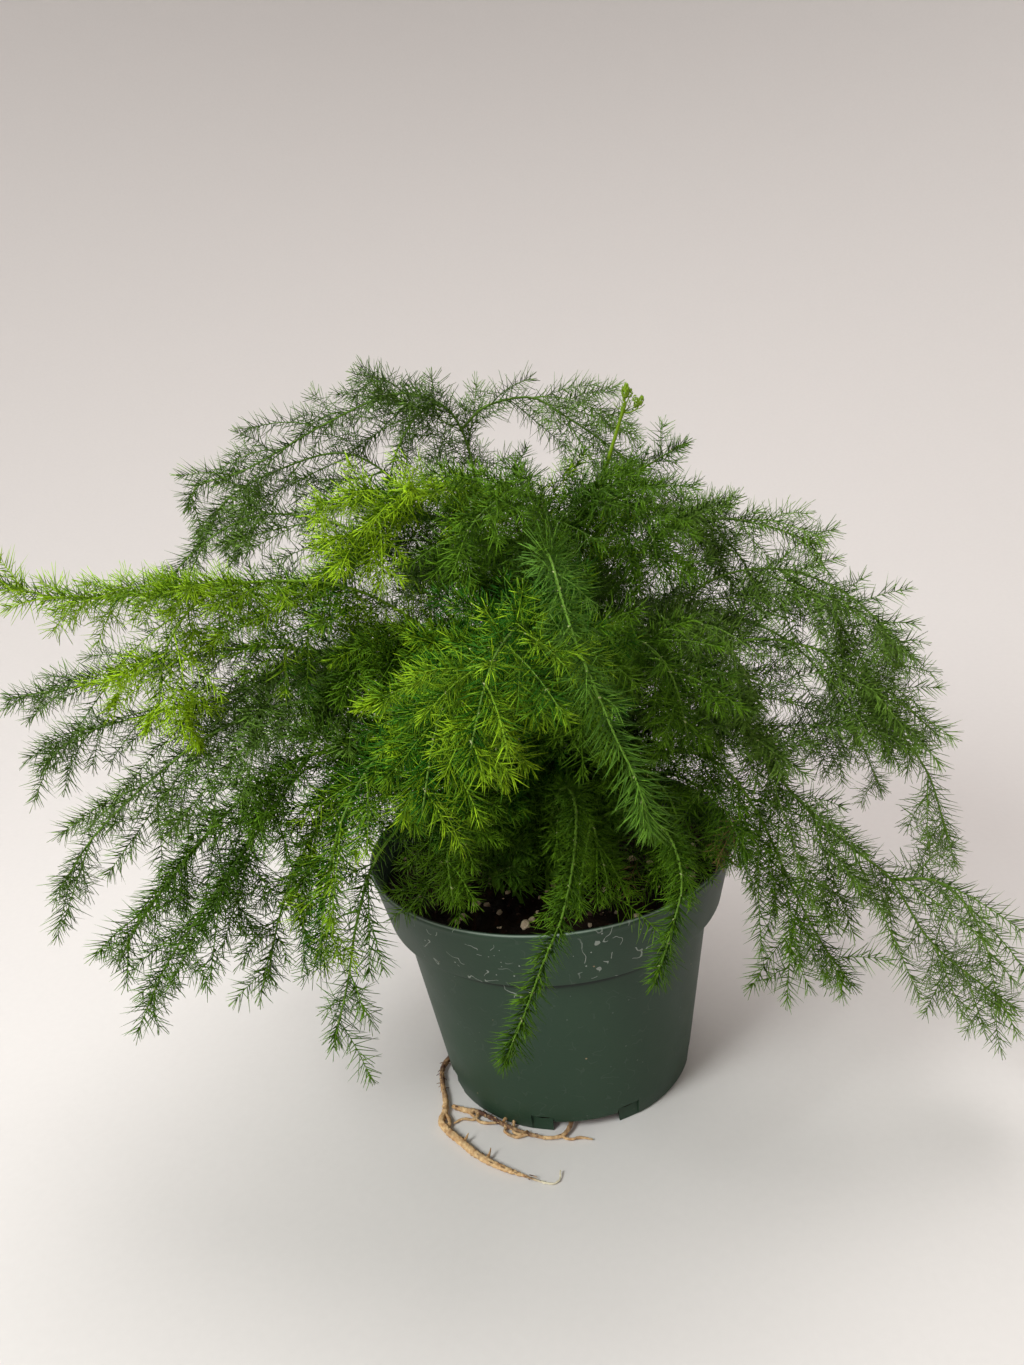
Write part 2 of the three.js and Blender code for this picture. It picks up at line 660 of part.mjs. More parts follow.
function twigsOn(axis) {
  const draw = drawFrom(axis.seed);
  const leafy = axis.curve.getLength() * (1 - axis.bare);
  const count = Math.round(leafy / TWIG_SPACING);
  const twigs = [];
  for (let i = 0; i < count; i += 1) {
    const place = (i + 0.5 + PLACE_JITTER * (draw() - 0.5)) / count;
    const share = axis.bare + (LAST_TWIG - axis.bare) * place;
    const twig = {
      number: i,
      seed: axis.seed + i,
      start: nearestOn(axis.line, axis.curve.getPointAt(share)),
      along: axis.curve.getTangentAt(share),
      roll: (i % 2 ? 0 : Math.PI) + ROLL_JITTER * (draw() - 0.5),
      lean: TWIG_LEAN + TWIG_LEAN_JITTER * draw(),
      length: axis.reach * fullness(place) * (SHORTEST + LENGTH_JITTER * draw()),
      droop: DROOP + DROOP_JITTER * draw(),
    };
    const built = i % TWIG_SHARE === 1 && twig.length > SHORTEST_BUILT;
    const kept = built ? firstClearTwig(twig, axis) : null;
    if (kept) twigs.push(kept);
  }
  return twigs;
}

// Rings for a tube that carries whorls of needles: two close rings make the band of each whorl
function whorlStations({ curve, bare, spacing, radius, tip, step }) {
  const length = curve.getLength();
  const stations = [];
  const bareLength = bare * length;
  const bareCount = Math.max(1, Math.round(bareLength / step));
  const radiusAt = (distance) => THREE.MathUtils.lerp(radius, tip, distance / length);
  for (let i = 0; i < bareCount; i += 1) {
    const distance = (bareLength * i) / bareCount;
    stations.push({ share: distance / length, radius: radiusAt(distance), turn: 0 });
  }
  const leafy = length - bareLength - TIP_LENGTH;
  const count = Math.max(1, Math.round(leafy / spacing));
  const bands = [];
  for (let i = 1; i <= count; i += 1) {
    const distance = bareLength + (leafy * i) / count;
    const turn = bands.length * WHORL_TURN;
    bands.push(stations.length);
    [-0.5, 0.5].forEach((offset) => {
      const place = distance + offset * WHORL_LENGTH;
      stations.push({ share: place / length, radius: radiusAt(place), turn });
    });
  }
  stations.push({ share: 1, radius: 0, turn: 0 });
  return { stations, bands };
}

// Needles for each side of each band, where they stay clear of all other pieces
function needlesOn({ curve, owner, seed }, { stations, bands }, sides, ignored) {
  const draw = drawFrom(seed);
  const frames = framesAlong(stations.map(({ share }) => curve.getPointAt(share)));
  const needles = [];
  bands.forEach((ring) => {
    const lower = frames[ring];
    const centre = lower.point.clone().add(frames[ring + 1].point).multiplyScalar(0.5);
    for (let side = 0; side < sides; side += 1) {
      const angle = ((side + 0.5) / sides) * 2 * Math.PI + stations[ring].turn;
      const out = lower.across.clone().multiplyScalar(Math.cos(angle))
        .addScaledVector(lower.over, Math.sin(angle));
      const length = NEEDLE_LENGTH + NEEDLE_LENGTH_JITTER * (draw() - 0.5);
      const tip = centre.clone()
        .addScaledVector(lower.along, length * Math.cos(NEEDLE_LEAN))
        .addScaledVector(out, length * Math.sin(NEEDLE_LEAN));
      const root = centre.clone().lerp(tip, NEEDLE_ROOT);
      const pieces = stretches([root, tip], NEEDLE_RADIUS, `${owner} needle ${ring} ${side}`);
      if (isClear(pieces, [owner, ...ignored])) {
        taken.push(...pieces);
        needles.push({ ring, side, tip });
      }
    }
  });
  return needles;
}

// A stem or a fork, with its rings and the straight stretches of its centre line
function axisOf(frond, index, fork, points) {
  const axis = {
    owner: `${frond.name} axis ${fork}`,
    curve: curveThrough(points),
    bare: fork ? FORK_BARE : frond.bare,
    reach: frond.reach * (fork ? FORK_REACH : 1),
    radius: fork ? FORK_RADIUS : STEM_RADIUS,
    seed: FIRST_SEED + FROND_SEED_STEP * index + FORK_SEED_STEP * fork,
  };
  axis.layout = whorlStations({
    ...axis, spacing: STEM_WHORL_SPACING, tip: STEM_TIP_RADIUS, step: STEM_STEP,
  });
  axis.line = axis.layout.stations.map(({ share }) => axis.curve.getPointAt(share));
  taken.push(...stretches(axis.line, axis.radius, axis.owner));
  return axis;
}

// The stem of a frond and its forks, each rooted in the middle of the stem
function axesOf(frond, index) {
  const stem = axisOf(frond, index, 0, frond.stem);
  const forks = frond.forks.map((route, i) => {
    const root = nearestOn(stem.line, vector(route[0]));
    return axisOf(frond, index, i + 1, [root.toArray(), ...route.slice(1)]);
  });
  return [stem, ...forks];
}

function needledTube(part, layout, sides, ignored) {
  const needles = needlesOn(part, layout, sides, ignored);
  return solid(tube(part.curve, layout.stations, sides, needles));
}

function frondSolid(axes) {
  const pieces = [];
  const neighbours = axes.map(({ owner }) => owner);
  axes.forEach((axis) => {
    pieces.push(needledTube(axis, axis.layout, STEM_SIDES, []));
    axis.twigs.forEach((twig) => {
      const twigLayout = whorlStations({
        curve: twig.curve,
        bare: TWIG_BARE,
        spacing: WHORL_SPACING,
        radius: TWIG_RADIUS,
        tip: TWIG_TIP_RADIUS,
        step: WHORL_SPACING,
      });
      pieces.push(needledTube(twig, twigLayout, TWIG_SIDES, neighbours));
    });
  });
  return join(pieces);
}

// Pot and soil

function outerRadius(z) {
  const bodyHeight = POT_HEIGHT - BAND_HEIGHT;
  return THREE.MathUtils.lerp(BASE_RADIUS, BODY_TOP_RADIUS, z / bodyHeight);
}

function potProfile() {
  const step = POT_HEIGHT - BAND_HEIGHT;
  return [
    [0, 0], [BASE_RADIUS - 1, 0], [BASE_RADIUS, 1], [BODY_TOP_RADIUS, step - 0.8],
    [BAND_FOOT_RADIUS - 0.8, step - 0.3], [BAND_FOOT_RADIUS, step + 0.6],
    [RIM_RADIUS - 0.5, POT_HEIGHT - 2.4], [RIM_RADIUS, POT_HEIGHT - 1.2], [RIM_RADIUS - 0.9, POT_HEIGHT],
    [RIM_RADIUS - 2.1, POT_HEIGHT - 0.5], [BAND_FOOT_RADIUS - WALL, step + 1.6],
    [BODY_TOP_RADIUS - WALL, step], [outerRadius(FLOOR) - WALL, FLOOR], [0, FLOOR],
  ];
}

function lathe(profile, sides) {
  const geometry = new THREE.LatheGeometry(profile.map(([r, z]) => new THREE.Vector2(r, z)), sides);
  geometry.rotateX(Math.PI / 2);
  return geometry;
}

// A cutter across the foot of the wall, from inner outwards, turned from the front
function slotBox(width, height, inner, turn) {
  const outer = BASE_RADIUS + SLOT_HEIGHT;
  const box = new THREE.BoxGeometry(outer - inner, width, height * 2);
  box.translate((inner + outer) / 2, 0, 0);
  box.rotateZ(turn - Math.PI / 2);
  return solid(box);
}

function slotTurns() {
  return Array.from({ length: SLOT_COUNT }, (_, i) => SLOT_TURN + (2 * Math.PI * i) / SLOT_COUNT);
}

function cutSlots(body) {
  return slotTurns().reduce((rest, turn) => (
    rest.subtract(slotBox(SLOT_WIDTH, SLOT_HEIGHT, SLOT_INNER, turn))
  ), body);
}

function potSolid() {
  const face = BASE_RADIUS - PAD_DEPTH;
  const padTurn = Math.atan((SLOT_WIDTH + PAD_WIDTH) / 2 / BASE_RADIUS);
  const pads = slotTurns().flatMap((turn) => [turn - padTurn, turn + padTurn]);
  const pot = pads.reduce((rest, turn) => (
    rest.subtract(slotBox(PAD_WIDTH, PAD_HEIGHT, face, turn))
  ), cutSlots(solid(lathe(potProfile(), POT_SIDES))));
  return largestBody(pot);
}

// The soil's surface: mounded at the crown, with low uneven relief
function soilHeight(x, y) {
  const mound = SOIL_CROWN * Math.exp(-(x * x + y * y) / (2 * SOIL_CROWN_WIDTH ** 2));
  const across = Math.sin(x * 0.21 + 1.3) * Math.cos(y * 0.17);
  const slanting = Math.sin(x * 0.09 - y * 0.24 + 0.6);
  return SOIL_TOP + mound + SOIL_RELIEF * (across + slanting);
}

function soilBlank() {
  const innerRadius = (z) => outerRadius(z) - WALL - GAP;
  const bottom = FLOOR + GAP;
  const step = POT_HEIGHT - BAND_HEIGHT;
  const ledge = BAND_FOOT_RADIUS - WALL - GAP;
  const edge = ledge + ((SOIL_TOP - step) * (RIM_RADIUS - BAND_FOOT_RADIUS)) / BAND_HEIGHT - 1;
  const profile = [
    [0, bottom], [innerRadius(bottom), bottom], [innerRadius(step), step + GAP * 2],
    [ledge - 0.3, step + 3], [edge, SOIL_TOP], ...SOIL_RINGS.toReversed().map((r) => [r, SOIL_TOP]),
  ];
  const geometry = lathe(profile, SOIL_SIDES);
  const position = geometry.attributes.position;
  for (let i = 0; i < position.count; i += 1) {
    const onTop = Math.abs(position.getZ(i) - SOIL_TOP) < 1e-3;
    if (onTop) position.setZ(i, soilHeight(position.getX(i), position.getY(i)));
  }
  return solid(geometry);
}

// A straight hole round the first stretch of a stem, a little deeper than its foot
function holeAround([foot, next], radius, sides) {
  const along = next.clone().sub(foot).normalize();
  const bottom = foot.clone().addScaledVector(along, -1);
  const top = foot.clone().addScaledVector(along, HOLE_LENGTH);
  const stations = [0, 1].map((share) => ({ share, radius, turn: 0 }));
  return solid(tube(new THREE.LineCurve3(bottom, top), stations, sides));
}

function soilSolid(stems, shoot) {
  const holes = stems.map(({ line }) => holeAround(line, STEM_RADIUS + HOLE_CLEARANCE, STEM_SIDES));
  holes.push(holeAround(shoot.line, SHOOT_RADIUS + HOLE_CLEARANCE, SHOOT_SIDES));
  return largestBody(holes.reduce((rest, hole) => rest.subtract(hole), cutSlots(soilBlank())));
}

// Young shoot and roots

function budSolid({ at, lean, long, wide }, top) {
  const bud = new THREE.SphereGeometry(1, BUD_SIDES, BUD_RINGS);
  bud.scale(wide, long, wide);
  const turn = new THREE.Quaternion().setFromUnitVectors(
    new THREE.Vector3(0, 1, 0),
    vector(lean).normalize(),
  );
  bud.applyQuaternion(turn);
  const place = top.clone().add(vector(at));
  bud.translate(place.x, place.y, place.z);
  return solid(bud);
}

function shootAxis() {
  const curve = curveThrough(SHOOT_ROUTE);
  const stations = plainStations(curve, SHOOT_STEP, SHOOT_RADIUS, SHOOT_TIP_RADIUS);
  const line = stations.map(({ share }) => curve.getPointAt(share));
  taken.push(...stretches(line, SHOOT_RADIUS, 'young shoot'));
  taken.push(...stretches([curve.getPointAt(0.97), line.at(-1)], BUD_REACH, 'buds'));
  return { curve, stations, line };
}

function shootSolid({ curve, stations, line }) {
  const buds = BUDS.map((bud) => budSolid(bud, line.at(-1)));
  return join([solid(tube(curve, stations, SHOOT_SIDES)), ...buds]);
}

function rootSolid(lines) {
  return join(lines.map(({ line, radius, tip }) => {
    const curve = curveThrough(line);
    return solid(tube(curve, plainStations(curve, ROOT_STEP, radius, tip), ROOT_SIDES));
  }));
}

// Assembly

const shoot = shootAxis();
const fronds = FRONDS.map((frond, index) => ({ ...frond, axes: axesOf(frond, index) }));
fronds.flatMap(({ axes }) => axes).forEach((axis) => {
  axis.twigs = twigsOn(axis);
});

const plant = new THREE.Group();
plant.add(meshOf('pot', potSolid(), COLOURS.pot, 0.5));
plant.add(meshOf('soil', soilSolid(fronds.map(({ axes }) => axes[0]), shoot), COLOURS.soil, 0.95));
plant.add(meshOf('root_long', rootSolid([LONG_ROOT, ...ROOT_SPURS]), COLOURS.root, 0.8));
plant.add(meshOf('root_tangle', rootSolid(TANGLE), COLOURS.root, 0.8));
plant.add(meshOf('young_shoot', shootSolid(shoot), COLOURS.shoot, 0.5));
fronds.forEach(({ name, tone, axes }) => {
  plant.add(meshOf(name, frondSolid(axes), COLOURS[tone], 0.6));
});

export default plant;
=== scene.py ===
# Potted asparagus fern, in metres, modelled round the fixed frame.
# The origin is the centre of the pot's flat underside, and the front of the plant looks towards -Y.
import math

import bpy
import numpy as np
from bpy.props import FloatProperty, FloatVectorProperty, IntProperty, PointerProperty
from mathutils import Matrix, Vector


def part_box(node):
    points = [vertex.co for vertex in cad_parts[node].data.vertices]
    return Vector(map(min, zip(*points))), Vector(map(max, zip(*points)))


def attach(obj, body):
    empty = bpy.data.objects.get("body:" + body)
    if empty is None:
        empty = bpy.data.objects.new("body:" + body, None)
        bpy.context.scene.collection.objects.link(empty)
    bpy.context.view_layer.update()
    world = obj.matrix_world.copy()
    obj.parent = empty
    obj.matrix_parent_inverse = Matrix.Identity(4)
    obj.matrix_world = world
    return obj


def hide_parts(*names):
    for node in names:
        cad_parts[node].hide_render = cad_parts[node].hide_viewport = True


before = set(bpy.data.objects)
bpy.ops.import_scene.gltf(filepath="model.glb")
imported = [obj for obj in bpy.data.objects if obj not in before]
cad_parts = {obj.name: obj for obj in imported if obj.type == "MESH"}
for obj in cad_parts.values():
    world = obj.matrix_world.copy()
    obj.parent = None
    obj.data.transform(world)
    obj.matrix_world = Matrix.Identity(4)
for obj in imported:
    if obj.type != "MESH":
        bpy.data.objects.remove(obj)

bl_info = {
    "name": "Potted Asparagus Fern",
    "version": (1, 0, 0),
    "blender": (4, 5, 0),
    "location": "View3D > Sidebar > Fern",
    "description": "Models a potted asparagus fern: pot, soil, roots, young shoot and needled fronds",
    "category": "Add Mesh",
}

MM = 0.001
BODY = "root"
UP = np.array([0.0, 0.0, 1.0])
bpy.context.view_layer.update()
POT_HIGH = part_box("pot")[1]
SOIL_LOW, SOIL_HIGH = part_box("soil")

# Pot, in metres
STEP_HEIGHT = 0.088
BAND_FOOT_RADIUS = 0.0767
BODY_TOP_RADIUS = 0.071
BASE_RADIUS = 0.0583
WALL = 0.0016
FOOT_EDGE = 0.001
BODY_EDGE = 0.0034
FLOOR_THICKNESS = 0.0022
SLOT_COUNT = 4
SLOT_WIDTH = 0.0295
SLOT_HEIGHT = 0.0059
SLOT_INNER = 0.05
SLOT_TURN = math.radians(4.5)
PAD_WIDTH = 0.0105
PAD_HEIGHT = 0.0085
PAD_DEPTH = 0.0007
PAD_RING = 0.0095
# Scuffed places on the rim band: middle and reach, in metres
SCUFFED = [((-0.041, -0.068, 0.101), 0.026), ((0.022, -0.076, 0.1), 0.021), ((-0.038, -0.067, 0.0895), 0.009),
           ((-0.02, -0.068, 0.081), 0.006)]

# Soil surface
SOIL_GAP = 0.0003
SOIL_TOP = 0.1
SOIL_CROWN = 0.005
SOIL_CROWN_WIDTH = 0.03
SOIL_RELIEF = 0.0009
# Larger pale bits on the soil: place, width in millimetres, and how pale
PALE_BITS = [
    (-24.7, -10.8, 3, 0.7), (-20.4, -25, 2.6, 0.9), (-13.2, -52.9, 5.4, 0.85), (-10.5, -47.2, 3.8, 0.8),
    (0, -26.1, 3.2, 0.8), (-40.3, -39.7, 4.2, 0.75), (56.8, -3, 4.6, 0.9), (59.1, -13.9, 5.4, 0.85),
    (60.3, -22.3, 6, 0.8), (36.7, -5.8, 4.4, 0.9), (32.8, -50.8, 3.6, 0.8), (-34, -31, 4.6, 0.6),
    (-29.5, -35, 3, 0.5), (-24, -42, 3, 0.45), (-22, -31.5, 2.2, 0.9), (-3, -31, 2.4, 1.0),
    (-6.6, -34, 2, 0.85), (-8, -42, 1.6, 0.9), (-42, -44.4, 2.8, 0.6), (44, -12, 3, 0.8), (28, -20, 2.6, 0.7),
    (22, -30, 3, 0.7), (52, -30, 3.4, 0.75), (18, 30, 4, 0.8), (-12, 40, 3.4, 0.8), (-40, 22, 4.2, 0.75),
    (38, 34, 3.6, 0.85), (-52, 8, 3, 0.7), (4, 52, 4.4, 0.8), (58, 14, 3.2, 0.8),
]

# Growth rule of stems, forks and twigs, the same as in the solids, in millimetres
FORK_BARE = 0.04
FORK_REACH = 0.8
TWIG_SPACING = 9
LAST_TWIG = 0.985
PLACE_JITTER = 0.4
ROLL_JITTER = 1.9
TWIG_LEAN = math.radians(42)
TWIG_LEAN_JITTER = math.radians(22)
SHORTEST = 0.7
LENGTH_JITTER = 0.5
DROOP = 0.16
DROOP_JITTER = 0.2
FOLLOW = 0.22
GROUND_CLEARANCE = 12
RIM_CLEARANCE = 2
STEEPEST = 0.2
# How long side lines are along a line: least share at its start, rise, fall, size and least length
FULL_START = 0.45
FULL_RISE = 1.9
FULL_FALL = 0.62
FULL_SIZE = 1.15
FULL_LEAST = 0.1
ROLL_TRIES = (0, 0.5, -0.5, 1, -1, 1.6, -1.6)
LENGTH_TRIES = (1, 0.7, 0.45)
FIRST_SEED = 101
FROND_SEED_STEP = 37
FORK_SEED_STEP = 1009

# Finer growth: branchlets on each twig, with whorls of needles on all of them, in millimetres
GOLDEN_TURN = math.radians(137.5)
STEM_RADII = (1.0, 0.35)
FORK_RADII = (0.7, 0.3)
TWIG_RADII = (0.38, 0.18)
BRANCHLET_RADII = (0.24, 0.14)
STEM_STEP = 6
STEM_SIDES = 5
TWIG_STEP = 8
TWIG_SIDES = 3
TWIG_WOOD = 0.6
BRANCHLET_WOOD = 0.3
TWIG_NEEDLES_FROM = 0.08
BRANCHLET_NEEDLES_FROM = 0.1
TWIG_BRACT = 1.7
BRANCHLET_BRACT = 1.1
FORK_OUTWARDS = 0.6
BRANCHLET_SPACING = 9
BRANCHLET_ZONE = (0.08, 0.78)
BRANCHLET_SHARE = 0.5
BRANCHLET_LEAN = math.radians(42)
BRANCHLET_LEAN_JITTER = math.radians(30)
BRANCHLET_ROLL_JITTER = 3
BRANCHLET_DROOP = 0.1
BRANCHLET_DROOP_JITTER = 0.22
SHORTEST_BRANCHLET = 8
SHORTEST_FORKED_TWIG = 22
FORKED_SHARE = (1.15, 0.2)
TASSEL_SHARE = 0.16
TASSEL_LENGTH = 9
TASSEL_FROM = 0.4
TASSEL_YOUTH = 0.4
TASSEL_CROWDING = 3
TASSEL_TIGHTNESS = 0.75
BRANCHLET_SEED_STEP = 31 * FORK_SEED_STEP
DRY_SHARE = 0.004
# Short extra twigs: over the soil on the bare stretch of each stem, and between its own twigs
INNER_TWIG_SPACING = 10
INNER_TWIG_LENGTHS = (16, 32)
INNER_TWIG_LOWEST = 116
EXTRA_TWIG_SPACING = 9
EXTRA_TWIG_LENGTHS = (9, 22)
HIGHEST = 328
# How many extra twigs there are for their usual number, where that isn't 1: by green and by frond
EXTRA_TWIGS = {"dark": 0.6, "front_hang": 0, "front_right_hang": 0, "front_blue": 0, "left_bright": 1.4,
               "crest": 1.6, "crest_right": 2, "crest_front": 1.8, "crest_left": 1.8, "crest_back": 1.4,
               "back_middle": 3, "inner_far_left": 2.4, "inner_left_bright": 1.8, "inner_right": 1.8,
               "inner_front": 1.6, "inner_front_bright": 1.6, "inner_far_right": 2, "back_left": 1.6,
               "back_right": 1.6, "left_upper": 1.3, "right_high": 1, "right_top": 1,
               "front_left_hang": 0.6, "arch_high": 0.3, "arch_left": 0.3}
# How much the extra twigs of dark fronds crowd towards the inner end
CROWDING = 1.8
# The share of side twigs that grow beside those built as solids, by green, and by frond as needed
GROWN_TWIGS = {"dark": 0.75, "mid": 1, "bright": 1, "cool": 0.35, "right_high": 0.55, "right_mid": 0.5,
               "right_low": 0.55, "right_back": 0.55, "right_top": 0.7, "arch_high": 0.6, "arch_left": 0.65,
               "left_upper": 0.65, "left_far": 0.7, "left_back": 0.5, "left_mid": 0.6, "left_low": 0.75,
               "front_left_hang": 0.5}
# Which twigs are built as solids: every how many, and the first
SOLID_TWIG_STEP = 7
FIRST_SOLID_TWIG = 1
# Needles of a whorl: their number, and the chances of two more
NEEDLES_PER_WHORL = 4
MORE_NEEDLES = (0.75, 0.35)
# Needles: lean in degrees, sizes over the usual one, and how those of a line's last stretch differ
NEEDLE_LEAN = 30
INNER_LEAN = 28
NEEDLE_LEAN_JITTER = 11
NEEDLE_ROLL_JITTER = 0.3
TIGHT_LEAN = 14
TIGHT_SHORTENING = 0.5
TIP_NEEDLE = 0.5
NEEDLE_LENGTH_RANGE = (0.7, 1.15)
NEEDLE_WIDTH_RANGE = (0.85, 1.15)
WHORL_SCATTER = 0.9
TIP_STRETCH = 7
TIP_CROWDING = 1.2
TIP_YOUTH = 0.25
NEEDLE_YOUTH_JITTER = 0.2
# Needle length, in millimetres, on the fronds of each green
NEEDLE_LENGTHS = {"dark": 9.2, "mid": 9, "bright": 9.4, "cool": 12.5}
# Fronds like a bottle brush: how much closer their needles stand on the stem
BRUSHES = {"front_hang": 2.2, "front_right_hang": 2.2, "front_blue": 1.6}
# How young the needles of each green are, at the inner and at the outer end of a frond
YOUTH = {"dark": (0.0, 0.3), "mid": (0.05, 0.5), "bright": (0.12, 0.95), "cool": (0.1, 0.6)}
YOUTH_RISE = 1.8
YOUTH_JITTER = 0.12
# Fronds that are younger or older all along than others of their green, so lighter or darker. The lift of the
# low and hanging fronds over the soil is painted light, in place of light that the lamps don't bring under
# the canopy.
YOUTH_AND_LIGHT_SHIFTS = {"low_front": 0.3, "low_front_left": 0.3, "low_front_right": 0.3, "low_right": 0.3,
                "low_right_side": 0.25, "low_left": 0.2, "front_hang": 0.15, "front_right_hang": 0.1,
                "inner_low_left": 0.15, "inner_low_right": 0.2, "right_hang": 0.15, "inner_front": 0.1,
                "front_bright": -0.42, "front_left_bright": -0.2, "front_crest": -0.35,
                "inner_front_bright": -0.3, "inner_left_bright": -0.1, "front_blue": 0.2,
                "crest": 0.15, "left_bright": 0.1, "right_top": 0.3, "right_high": 0.3, "right_mid": 0.3,
                "right_low": 0.25, "right_back": 0.15, "crest_back": 0.3, "inner_far_right": 0.3,
                "left_mid": 0.25, "left_far": 0.15, "left_upper": 0.15, "arch_high": 0.1, "arch_left": 0.1}

